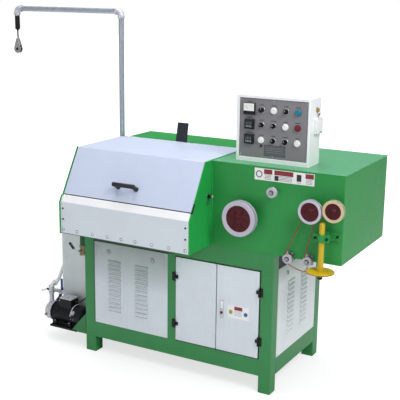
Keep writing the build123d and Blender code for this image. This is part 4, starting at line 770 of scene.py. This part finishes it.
# Thick grip and legs of the lid handle, in place down the slope
HANDLE_RUN, HANDLE_REACH = 208, 48
HANDLE_LEFT, HANDLE_RIGHT = 383.5, 502.5
handle_spot = SLOPE_TOP + SLOPE_DOWN * HANDLE_RUN * MM
GRIP = ((0, 0), (11, 0), (12.5, 1.5), (12.5, 139.5), (11, 141), (0, 141))
LEG = ((14, 0), (13, 8), (12, 30), (12, 46), (0, 46))
grip_end = handle_spot + RIGHT * (HANDLE_LEFT - 11) * MM + SLOPE_OUT * HANDLE_REACH * MM
lathe("handle_grip", GRIP, grip_end, RIGHT, "slate", "lid")
for number, x in enumerate((HANDLE_LEFT, HANDLE_RIGHT)):
    lathe(f"handle_leg_{number}", LEG, handle_spot + RIGHT * x * MM, SLOPE_OUT, "slate", "lid")

# Backstop bolt and toe bolt
domes("backstop_bolt", [at(500, 398, 1300)], UP, 6.0, 3.0, "bright")
bolts("backstop_plate_bolt", [at(425, 404, 1300)], UP, 4.5, 3.2, "bright")

# Control face: corner screws, a dark seal round it that also paints the shade of its recess, printed captions
# and a bare plate
(face_left, _, face_bottom), (face_right, _, face_top) = span("control_face")
screw_columns = (face_left + 8, (face_left + face_right) / 2, face_right - 8)
screw_spots = grid(screw_columns, FACE, (face_bottom + 10, face_top - 10))
domes("face_screws", screw_spots, FRONT, 3.4, 1.6, "bright")
SEAL, SEAL_RISE = 1.6, 0.8
face_shade_seal = [
    (face_left, FACE - SEAL_RISE, face_bottom, face_left + SEAL, FACE, face_top),
    (face_right - SEAL, FACE - SEAL_RISE, face_bottom, face_right, FACE, face_top),
    (face_left, FACE - SEAL_RISE, face_bottom, face_right, FACE, face_bottom + SEAL),
    (face_left, FACE - SEAL_RISE, face_top - SEAL, face_right, FACE, face_top),
]
blocks("face_shade_seal", face_shade_seal, "seal")
COLUMNS = [BOX_LEFT + 150 + i * 70.3 for i in range(4)]
ROWS = [BOX_BOTTOM + 124 + i * 81.5 for i in range(3)]
METER_X, METER_Z, METER_FACE = 1051.0, 1584.5, 84.0
TIMER_X, TIMER_LEVELS, TIMER_FACE = 1054.0, (1502.0, 1421.0), 80.0
captions = []
for row, z in enumerate(ROWS):
    for column, x in enumerate(COLUMNS):
        half = 15 if (column + (row == 0)) % 2 else 11
        captions.append((x - half, FACE - 0.25, z + 25, x + half, FACE, z + 28.5))
for x, z in ((METER_X, 1622), (TIMER_X, 1535), (TIMER_X, 1454)):
    captions.append((x - 16, FACE - 0.25, z, x + 16, FACE, z + 3))
blocks("face_captions", captions, "dial")
face_plate = at(1204, FACE, 1366)
plate("face_plate_edge", 125, 59, 0.5, face_plate, FRONT, "dial", edge=0.2, corner=1.0)
plate("face_plate", 122, 56, 0.9, face_plate, FRONT, "plate_grey", edge=0.3, corner=1.0)
plate_lines = [(1156, FACE - 1.1, 1378 - row * 12, 1252, FACE - 0.9, 1380 - row * 12) for row in range(3)]
blocks("face_plate_lines", plate_lines, "rule")
KEY_SWITCH = ((0, 0), (6, 0), (6, 3), (4, 4), (0, 4))
lathe("face_key_switch", KEY_SWITCH, at(1125, FACE, 1389), FRONT, "dark_steel")
plate("face_key", 2.5, 12, 8, at(1126, FACE - 4, 1386), FRONT, "dark_steel", edge=0.3)

# Meter: white dial above, black foot below
METER_REACH, METER_SWING = 26, 52
dial_spot = at(METER_X, METER_FACE + 0.6, METER_Z + 9)
plate("meter_dial", 62, 40, 1.2, dial_spot, FRONT, "label", edge=0.3, corner=1.5)
meter_marks = bmesh.new()
pivot = at(METER_X, METER_FACE - 0.7, METER_Z - 6)
for number in range(11):
    angle = radians(number * METER_SWING / 5 - METER_SWING)
    tick = 3.6 if number % 5 == 0 else 2.2
    mark = (-0.35, METER_REACH - tick, 0, 0.35, METER_REACH, INK)
    add_boxes(meter_marks, [mark], facing(pivot, FRONT, -angle))
add_boxes(meter_marks, [(-0.4, 4, 0.2, 0.4, 24, 0.5)], facing(pivot, FRONT, radians(38)))
piece("meter_marks", meter_marks, "dial", smooth=False)
METER_SCREW = ((0, 0), (3, 0), (3, 0.8), (0, 1.2))
lathe("meter_screw", METER_SCREW, at(METER_X, METER_FACE, METER_Z - 18), FRONT, "black_gloss")

# Timers: dark windows with setting wheels
for number, z in enumerate(TIMER_LEVELS):
    window = at(TIMER_X, TIMER_FACE + 1.2, z)
    plate(f"timer_window_{number}", 40, 38, 1.6, window, FRONT, "screen", edge=0.4, corner=2.0)
    digits = []
    for column in range(4):
        x = TIMER_X + (column - 1.5) * 9
        digits.append((x - 2.8, TIMER_FACE - 0.6, z - 15, x + 2.8, TIMER_FACE + 0.2, z - 8))
        digits.append((x - 0.6, TIMER_FACE - 0.6, z - 2, x + 0.6, TIMER_FACE + 0.2, z + 12))
    blocks(f"timer_wheels_{number}", digits, "digit")

# White pointer lines on the rotary switches and the round knob, and their collars
SWITCHES = [(COLUMNS[column], ROWS[row]) for column, row in ((2, 2), (0, 1), (1, 1), (1, 0), (2, 0))]
KNOB_SPOT = (COLUMNS[0], ROWS[2])
SWITCH_FACE, KNOB_FACE = 76, 78
pointers = [(x - 0.8, SWITCH_FACE - 0.3, z + 1, x + 0.8, SWITCH_FACE + 0.1, z + 8) for x, z in SWITCHES]
x, z = KNOB_SPOT
pointers.append((x - 0.8, KNOB_FACE - 0.3, z + 4, x + 0.8, KNOB_FACE + 0.1, z + 13))
blocks("switch_pointers", pointers, "label")
COLLAR = ((14, 0), (17.5, 0), (17.5, 2.2), (15.5, 3.4), (14, 3.4), (14, 0))
lathes("switch_collars", COLLAR, [at(x, FACE, z) for x, z in (*SWITCHES, KNOB_SPOT)], FRONT, "bright")

# Fittings on the box's right side, in place of the plain solids
SOCKET = 22
side_socket = at(BOX_RIGHT, 185, 1511)
socket = plate("side_socket", 76, 84, SOCKET, side_socket, RIGHT, "white_plastic", edge=3.0, corner=6.0)
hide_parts("side_fittings")
plate("socket_lid", 62, 58, 2.5, at(BOX_RIGHT + SOCKET, 185, 1504), RIGHT, "box", edge=1.0, corner=5.0)
plate("socket_latch", 20, 5, 3.5, at(BOX_RIGHT + SOCKET + 2.5, 185, 1479), RIGHT, "rule", edge=0.6)
AMBER = ((0, 0), (14, 0), (14, 5), (11.5, 6), (11.5, 11), (10, 12), (0, 12.4))
AMBER_COLLAR = ((0, 0), (15.5, 0), (15.5, 3), (13, 4), (0, 4))
lathe("amber_button", AMBER, at(BOX_RIGHT, 180, 1593), RIGHT, "amber")
lathe("amber_collar", AMBER_COLLAR, at(BOX_RIGHT, 180, 1593), RIGHT, "bright")
SWITCH_BASE = ((0, 0), (8, 0), (8, 4), (6, 6), (0, 6))
SWITCH_BAT = ((0, 0), (2, 0), (3.2, 12), (2.6, 14), (0, 14.5))
bat_axis = Vector((0.45, 0, 0.9))
lathe("lever_switch_base", SWITCH_BASE, at(BOX_RIGHT, 199, 1563), RIGHT, "bright")
lathe("lever_switch_bat", SWITCH_BAT, at(BOX_RIGHT + 5, 199, 1563), bat_axis, "dark_steel")

# Cable entry and screws at the box's rear
GLAND = ((0, 0), (15, 0), (15, 8), (11, 9), (11, 20), (0, 20))
lathe("box_rear_gland", GLAND, at(1180, BOX_REAR, 1320), REAR, "black")
bolts("box_rear_screws", grid((990, 1386), BOX_REAR, (1312, 1640)), REAR, 4.0, 3.0, "bright")

# Wheels: ring lines, hubs and ribs on the discs, and bands round the rims
DISC_FACE = -77.0
for name in ("capstan", "left_roller", "right_roller"):
    x, _, z = middle(f"{name}_rim")
    rim_low, rim_high = span(f"{name}_rim")
    disc_low, disc_high = span(f"{name}_disc")
    rim_radius = (rim_high[0] - rim_low[0]) / 2
    disc_radius = (disc_high[0] - disc_low[0]) / 2
    rings = bmesh.new()
    for share in (0.66, 0.93):
        r = disc_radius * share
        line = ((r - 1.0, -0.2), (r - 0.4, 0.5), (r + 0.4, 0.5), (r + 1.0, -0.2), (r - 1.0, -0.2))
        add_lathe(rings, line, facing(at(x, DISC_FACE, z), FRONT), 64)
    piece(f"{name}_rings", rings, "red", name)
    shoulder = ((0, 0), (disc_radius * 0.34, 0), (disc_radius * 0.30, 2.6))
    hub = (*shoulder, (9, 4.2), (8, 5.6), (4, 5.6), (3.4, 3.0), (0, 3.0))
    hub_spot = at(x, DISC_FACE - 1.5, z)
    lathe(f"{name}_hub", hub, hub_spot, FRONT, "red", name, 48)
    ribs = bmesh.new()
    for number in range(6):
        rib = (disc_radius * 0.33, -1.6, -0.5, disc_radius * 0.64, 1.6, 2.2)
        add_boxes(ribs, [rib], facing(hub_spot, FRONT, pi * number / 3))
    piece(f"{name}_ribs", ribs, "red", name, 0.8)
    bands = bmesh.new()
    for share in (0.34, 0.66):
        start = (rim_high[1] - rim_low[1]) * share
        band = [(rim_radius + out, start + along) for out, along in ring(-1, 0.3, 2.2)]
        add_lathe(bands, band, facing(at(x, rim_low[1], z), REAR), 72)
    piece(f"{name}_bands", bands, "rule", name)

# Dark seals of the guide pulley and the belt pulleys
SEAL_RING = ((6.3, 0.1), (13.5, 0.1), (13.5, -0.6), (12.5, -0.9), (6.3, -0.9), (6.3, 0.1))
for name in ("guide_pulley", "left_belt_pulley", "right_belt_pulley"):
    x, _, z = middle(name)
    seal_spot = at(x, span(name)[0][1] - 0.95, z)
    lathe(f"{name}_seal", SEAL_RING, seal_spot, FRONT, "seal", name, edge=0.1)

# Screws of the two belt brackets
bracket_spots = [at(x + dx, -8, z) for x, z in ((1359, 848), (1471.5, 850)) for dx in (-15, 15)]
domes("bracket_screws", bracket_spots, FRONT, 4.5, 2.2, "bright")

# Stem: two small cross holes, clamp screws, the nuts below the disc, its rim band and its screws
STEM_X, STEM_Y = 1556, -60
for number, level in enumerate((1040.0, 1026.0)):
    hole = ((0, 0), (3, 0), (2.4, 0.4), (0, 0.4))
    lathe(f"stem_hole_{number}", hole, at(STEM_X, -75.1, level), FRONT, "dial", segments=20)
lathe("stem_nut_washer", ring(8.2, 17, 2.5), at(STEM_X, STEM_Y, 782), DOWN, "steel", edge=0.3)
bolts("stem_nut", [at(STEM_X, STEM_Y, 779)], DOWN, 14.0, 9.0, "steel", washer=False)
bolts("stem_end_nut", [at(STEM_X, STEM_Y, 764)], DOWN, 13.0, 12.0, "dark_steel", washer=False)
SOCKET_HEAD = ((0, 0), (7, 0), (7, 7), (6.2, 8), (3.8, 8), (3.8, 4), (0, 4))
for number, x in enumerate((1524, 1588)):
    lathe(f"clamp_screw_{number}", SOCKET_HEAD, at(x, -70, 974), FRONT, "dark_steel", segments=24)
lathe("clamp_foot_screw", SOCKET_HEAD, at(1624, -12, 978), FRONT, "dark_steel", segments=24)
RIM_BAND = ((72.6, 0.4), (73.5, 1.0), (73.5, 4.8), (72.6, 5.4), (72.0, 3.0), (72.6, 0.4))
lathe("disc_rim_band", RIM_BAND, at(STEM_X, STEM_Y, 788), UP, "belt", segments=72, edge=0)
disc_screws = [at(STEM_X + 40 * cos(a), STEM_Y + 40 * sin(a), 796) for a in (0.6, 2.7, 4.8)]
bolts("disc_screws", disc_screws, UP, 4.0, 2.0, "brass", washer=False)

# Gantry: thread ends, bolts of the clamps and the pin of the hanging block
POST_X, ARM_END_X, GANTRY_Y, ARM_Z = 1, -826, 417, 2066
THREAD = [(16.1, 0)]
for turn in range(4):
    THREAD += [(17.0, turn * 2 + 0.5), (16.2, turn * 2 + 1.5)]
thread_ends = (
    (at(POST_X, GANTRY_Y, ARM_Z - 40), DOWN),
    (at(ARM_END_X, GANTRY_Y, ARM_Z - 40), DOWN),
    (at(POST_X - 40, GANTRY_Y, ARM_Z), LEFT),
    (at(ARM_END_X + 40, GANTRY_Y, ARM_Z), RIGHT),
)
for number, (origin, axis) in enumerate(thread_ends):
    lathe(f"pipe_thread_{number}", THREAD, origin, axis, "bright", segments=40, edge=0)
CLAMP_LEVELS = (960, 1220)
bolts("pipe_clamp_bolts", grid(26, 392, CLAMP_LEVELS), FRONT, 6.0, 4.0, "bright")
bolts("pipe_clamp_nuts", grid(26, 442, CLAMP_LEVELS), REAR, 6.0, 5.0, "bright")
PIN = ((0, 0), (9, 0), (9, 1.5), (6, 3), (0, 3))
for number, (y, axis) in enumerate(((405, FRONT), (429, REAR))):
    lathe(f"block_pin_{number}", PIN, at(ARM_END_X, y, 1804), axis, "dark_steel")

# Tank: lid and filler cap
tank_x, tank_y, _ = middle("coolant_tank")
TANK_TOP = span("coolant_tank")[1][2]
plate("tank_lid", 292, 288, 4, at(tank_x, tank_y, TANK_TOP), UP, "tank", edge=1.5, corner=34.0)
FILLER = ((0, 0), (34, 0), (34, 8), (30, 9), (30, 14), (27, 16), (0, 16))
lathe("tank_filler", FILLER, at(-200, 390, TANK_TOP + 4), UP, "black")

# Pump motor: cooling fins, end rings, fan grille, plain disc, the fan cover's screws and edge, and a silver
# arc over the top of the cover's edge that paints its highlight
AXIS_Y, AXIS_Z = 80.0, 173.0
FAN_END = -46
motor_axis = Matrix.Translation(at(0, AXIS_Y, AXIS_Z))
fins = bmesh.new()
for number in range(28):
    angle = 2 * pi * number / 28
    if -0.86 <= sin(angle) <= 0.80:
        turned_place = motor_axis @ Matrix.Rotation(angle, 4, "X")
        add_boxes(fins, [(-284, 58.5, -1.3, -116, 62.5, 1.3)], turned_place)
piece("motor_fins", fins, "motor", edge=0.5)
for number, x in enumerate((-295.0, -112.0)):
    end_spot = at(x, AXIS_Y, AXIS_Z)
    lathe(f"motor_end_ring_{number}", ring(58, 64.5, 8), end_spot, RIGHT, "motor", segments=56, edge=1.0)
grille = bmesh.new()
fan_spot = at(FAN_END, AXIS_Y, AXIS_Z)
for radius in (14, 24, 34, 44):
    inner, outer = radius - 1.6, radius + 1.6
    wire = ((inner, -0.3), (inner, 1.6), (outer, 1.6), (outer, -0.3), (inner, -0.3))
    add_lathe(grille, wire, facing(fan_spot, RIGHT), 40)
for number in range(6):
    add_boxes(grille, [(-46, -1.6, -0.2, 46, 1.6, 2.0)], facing(fan_spot, RIGHT, pi * number / 6))
piece("fan_grille", grille, "dark_steel", edge=0.4)


def round_motor(x, radius, degrees):
    """Place on the motor's round side and the way out of it, in degrees above the front."""
    out = Vector((0, -cos(radians(degrees)), sin(radians(degrees))))
    return at(x, AXIS_Y, AXIS_Z) + out * radius * MM, out


DISC_OUTLINE = ((0, 0), (14, 0), (14, 1.4), (12, 2.6), (9, 2.6), (7.5, 1.6), (0, 1.6))
lathe("motor_disc", DISC_OUTLINE, *round_motor(-120, 65.6, 30), "bright")
fan_screws = [round_motor(x, 65.8, -8) for x in (-130, -112)]
domes("fan_cover_screws", [spot for spot, _ in fan_screws], fan_screws[0][1], 3.6, 1.8, "bright")
# Painted highlight: a silver arc over the top of the fan cover's edge
arc_angles = [radians(8 + 12 * step) for step in range(11)]
fan_highlight_arc = [(-134, AXIS_Y - 65.4 * cos(a), AXIS_Z + 65.4 * sin(a)) for a in arc_angles]
tube("fan_cover_highlight_arc", fan_highlight_arc, 3.6, "casting", bend=2.0)
fan_sleeve = at(-138, AXIS_Y, AXIS_Z)
lathe("fan_sleeve", ring(60, 65.4, 38), fan_sleeve, RIGHT, "motor", segments=64)
motor_pad = [
    (-284, 2, 106, -62, 142, 109),
    (-284, -2, 97, -70, 0, 107),
    (-280, 30, 109, -60, 130, 126),
]
blocks("motor_pad", motor_pad, "motor", edge=1.0)
plate("terminal_lid", 96, 82, 6, at(-190, 80, 278), UP, "casting", edge=2.0, corner=7.0)
domes("terminal_screws", grid((-230, -150), (47, 113), 284), UP, 3.4, 1.8, "bright")

# Bolts of the motor's feet, with their nuts and ends below the shelf
FOOT_X, FOOT_Y = (-262, -150), (26, 134)
bolts("motor_foot_bolts", grid(FOOT_X, FOOT_Y, 130), UP, 5.0, 4.0, "bright")
under_shelf = grid(FOOT_X, FOOT_Y, SHELF_UNDERSIDE)
bolts("shelf_nuts", under_shelf, DOWN, 7.0, 6.0, "steel")
STUD = ((0, 6), (3.6, 6), (3.6, 16), (3.0, 17), (0, 17))
lathes("shelf_studs", STUD, under_shelf, DOWN, "steel", 16)

# Pump casing: flange bolts, rib and drain plug
flange_angles = [pi / 6 + pi / 3 * i for i in range(6)]
flange_spots = [at(-306, AXIS_Y + 60 * cos(a), AXIS_Z + 60 * sin(a)) for a in flange_angles]
bolts("flange_bolts", flange_spots, LEFT, 4.0, 4.0, "bright", washer=False)
lathe("casing_rib", ring(24, 30, 3), at(-352, AXIS_Y, AXIS_Z), LEFT, "casting", segments=48)
PLUG = ((0, 0), (9, 0), (9, 5), (6, 6), (6, 11), (0, 11))
lathe("casing_plug", PLUG, at(-331, 22.5, 160), FRONT, "brass", segments=6)

# Riser, suction hose and delivery pipe: sleeve, unions, a cock with its lever, and the end flange
RISER_X, RISER_Y = -329.0, 80
OUTLET_Y, OUTLET_Z = 196, 258
SLEEVE = ((12.2, 0), (17, 0), (17, 5), (15, 7), (15, 50), (18, 53), (18, 62), (12.2, 62), (12.2, 0))
UNION = ((11.2, 0), (18.5, 0), (18.5, 16), (14.5, 19), (11.2, 19), (11.2, 0))
END_FLANGE = ((11.2, 0), (24, 0), (24, 5), (17, 7), (17, 16), (11.2, 16), (11.2, 0))
HOSE_PATH = ((-350, OUTLET_Y, 256), (-350, OUTLET_Y, 224), (-338, 130, 204), (-332, 104, 188))
COCK = ((0, 0), (8, 0), (8, 12), (5, 14), (5, 20), (0, 20))
COCK_CAP = ((0, 0), (6.5, 0), (6.5, 5), (5, 6.5), (0, 6.5))
lathe("riser_sleeve", SLEEVE, at(RISER_X, RISER_Y, 232), UP, "casting")
lathe("delivery_union", UNION, at(RISER_X, RISER_Y, 318), UP, "casting")
tube("suction_hose", HOSE_PATH, 11.0, "hose_blue", bend=14.0)
lathe("bend_union", UNION, at(RISER_X, RISER_Y + 28, 345), REAR, "white_plastic")
lathe("riser_cock", COCK, at(RISER_X - 14, RISER_Y, 306), LEFT, "dark_steel")
cock_place = facing(at(RISER_X - 33, RISER_Y, 308), FRONT, radians(202))
blocks("riser_cock_lever", [(0, -3.5, -1.2, 56, 3.5, 1.2)], "casting", place=cock_place, edge=0.6)
lathe("cock_cap", COCK_CAP, at(RISER_X - 33, RISER_Y + 2, 308), FRONT, "black_gloss")
lathe("delivery_end_flange", END_FLANGE, at(45, 520, 860), LEFT, "white_plastic")

# Tank outlet: pipe to the riser, nut, collar and valve with its handle
OUTLET_PATH = ((-306, OUTLET_Y, OUTLET_Z), (-350, OUTLET_Y, OUTLET_Z), (-342, 140, 284), (-330, 92, 298))
OUTLET_NUT = ((0, 0), (20, 0), (20, 9), (15, 11), (15, 18), (0, 18))
tube("tank_outlet_pipe", OUTLET_PATH, 12.0, "white_plastic", bend=16.0)
nut_spot = at(-310, OUTLET_Y, OUTLET_Z)
lathe("tank_outlet_nut", OUTLET_NUT, nut_spot, LEFT, "white_plastic", segments=6, edge=1.0)
collar_spot = at(-338, OUTLET_Y, OUTLET_Z)
lathe("tank_outlet_collar", disc(19, 14), collar_spot, LEFT, "white_plastic", edge=1.0)
lathe("outlet_valve_stem", disc(7, 14), at(-333, OUTLET_Y, OUTLET_Z + 12), UP, "dark_steel")
plate("outlet_valve_handle", 17, 72, 5, at(-334, OUTLET_Y - 2, 313), FRONT, "blue", edge=1.6, corner=5.0)

# Drain valve: hex ends and the black grip of its lever
for number, level in enumerate((DRAIN_END - 14, DRAIN_END - 62)):
    hex_spot = at(DRAIN_X, DRAIN_Y, level)
    lathe(f"valve_hex_{number}", disc(19, 14), hex_spot, UP, "brass", segments=6, edge=1.0)
GRIP_TILT = atan2(44.0, -42.0)
lever_grip = facing(at(0.9, -125.8, 706.4), FRONT, GRIP_TILT)
grip_box = (-24, -8.2, -4.6, 24, 8.2, 4.6)
blocks("lever_grip", [grip_box], "black", "valve_lever", lever_grip, 3.5, 4)

# Motor cable: the free cord between the two glands
CABLE_THICKNESS = 9.0
CABLE_ROUTE = (
    (-132.0, 80.0, 262.0),
    (-96.0, 80.0, 262.0),
    (-44.0, 118.0, 326.0),
    (-12.0, 118.0, 326.0),
)
cable_curve = bpy.data.curves.new("motor_cable_line", "CURVE")
cable_curve.dimensions = "3D"
cable_curve.bevel_depth = CABLE_THICKNESS / 2 * MM
cable_curve.bevel_resolution = 6
cable_curve.resolution_u = 24
cable_curve.use_fill_caps = True
cable_spline = cable_curve.splines.new("NURBS")
cable_spline.points.add(len(CABLE_ROUTE) - 1)
for point, place in zip(cable_spline.points, CABLE_ROUTE):
    point.co = (*at(*place), 1.0)
cable_spline.order_u = 3
cable_spline.use_endpoint_u = True
cable_curve.materials.append(M["cable"])
cable = add_object("motor_cable_sheath", cable_curve)
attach(cable, "base")
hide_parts("motor_cable")

# Screws that hold the cabinet's panels
domes("rear_panel_screws", grid((90, 580, 662, 1175), FRAME_REAR, (215, 700)), REAR, 5.0, 2.4, "bright")
domes("left_panel_screws", grid(0, (90, 610), (215, 700)), LEFT, 5.0, 2.4, "bright")
domes("front_panel_screws", grid((90, 581), 0, (212, 704)), FRONT, 4.2, 2.0, "panel")
domes("right_panel_screws", grid(FRAME_RIGHT, (90, 610), (212, 704)), RIGHT, 4.2, 2.0, "panel")

# Removable covers on the rears of the two housings, with bolts
for name, width, columns in (("rear", 700, (130, 462, 795)), ("gear_rear", 640, (960, 1262, 1564))):
    cover_spot = at(columns[1], HOUSING_REAR, 1058)
    plate(f"{name}_cover", width, 360, COVER, cover_spot, REAR, "green", edge=1.0, corner=8.0)
    cover_bolts = grid(columns, HOUSING_REAR + COVER, (890, 1225))
    bolts(f"{name}_cover_bolts", cover_bolts, REAR, 5.5, 3.6, "bright")

# Studio: a pale floor that fades to white away from the machine, under a white surround
WHITE = (1, 1, 1, 1)
FLOOR_HALF = 30.0
g = Graph(bpy.data.materials.new("studio floor"))
floor_place = g.node("ShaderNodeTexCoord").outputs["Object"]
floor_tint = g.mix(g.noise(floor_place, 60.0), (0.86, 0.86, 0.86, 1), (0.88, 0.88, 0.88, 1))
floor_lit = g.node("ShaderNodeBsdfDiffuse", {"Color": floor_tint}).outputs[0]
floor_white = g.node("ShaderNodeEmission", {"Color": WHITE, "Strength": 1.4}).outputs[0]
fade = g.spread(g.vector("LENGTH", floor_place, output="Value"), 0.05, 0.12, 0.5, 1.0)
seen = g.maths("MULTIPLY", g.node("ShaderNodeLightPath").outputs["Is Camera Ray"], fade)
floor_shader = g.node("ShaderNodeMixShader", {0: seen, 1: floor_lit, 2: floor_white}).outputs[0]
g.node("ShaderNodeOutputMaterial", {"Surface": floor_shader})
bm = bmesh.new()
bm.faces.new([bm.verts.new((x, y, 0)) for x, y in ((-1, -1), (1, -1), (1, 1), (-1, 1))])
floor_mesh = bpy.data.meshes.new("floor")
bm.to_mesh(floor_mesh)
bm.free()
floor_mesh.materials.append(g.owner)
floor = add_object("floor", floor_mesh)
floor.scale = (FLOOR_HALF, FLOOR_HALF, 1)
floor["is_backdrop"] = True

g = Graph(bpy.data.worlds.new("studio"))
rays = g.node("ShaderNodeLightPath").outputs
seen = g.maths("MAXIMUM", rays["Is Camera Ray"], rays["Is Transmission Ray"])
plain = g.node("ShaderNodeBackground", {"Color": (0.95, 0.97, 1.0, 1), "Strength": 0.38}).outputs[0]
white = g.node("ShaderNodeBackground", {"Color": WHITE, "Strength": 1.0}).outputs[0]
surround = g.node("ShaderNodeMixShader", {0: seen, 1: plain, 2: white}).outputs[0]
g.node("ShaderNodeOutputWorld", {"Surface": surround})
bpy.context.scene.world = g.owner


def area_light(name, place, target, size, power):
    data = bpy.data.lights.new(name, "AREA")
    data.shape = "SQUARE"
    data.size = size
    data.energy = power
    lamp = add_object(name, data)
    lamp.location = place
    lamp.rotation_euler = (Vector(target) - Vector(place)).to_track_quat("-Z", "Y").to_euler()


area_light("key", (4.4, -1.8, 4.4), (0.5, 0.2, 0.9), 2.2, 150.0)
area_light("top", (0.2, 0.1, 5.2), (0.5, 0.3, 1.0), 3.0, 98.0)
area_light("front", (-1.5, -5.5, 2.6), (0.4, 0.2, 0.8), 3.0, 26.0)
area_light("back", (-1.5, 3.2, 6.4), (0.4, 0.2, 0.9), 3.0, 60.0)

# Camera, fitted to the photograph
YAW, PITCH, ROLL = radians(-29.24), radians(13.59), radians(0.72)
CAMERA_PLACE = at(3128.81, -4151.69, 2215.41)
forward = Vector((sin(YAW) * cos(PITCH), cos(YAW) * cos(PITCH), -sin(PITCH)))
level_right = Vector((cos(YAW), -sin(YAW), 0))
level_up = level_right.cross(forward)
camera_right = level_right * cos(ROLL) + level_up * sin(ROLL)
camera_up = level_up * cos(ROLL) - level_right * sin(ROLL)
camera_data = bpy.data.cameras.new("camera")
camera_data.lens = 79.2
camera_data.sensor_width = 36.0
camera_data.clip_end = 100.0
camera = add_object("camera", camera_data)
turn = Matrix((camera_right, camera_up, -forward)).transposed().to_4x4()
camera.matrix_world = Matrix.Translation(CAMERA_PLACE) @ turn
bpy.context.scene.camera = camera
bpy.context.scene.view_settings.view_transform = "Standard"

low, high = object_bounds()
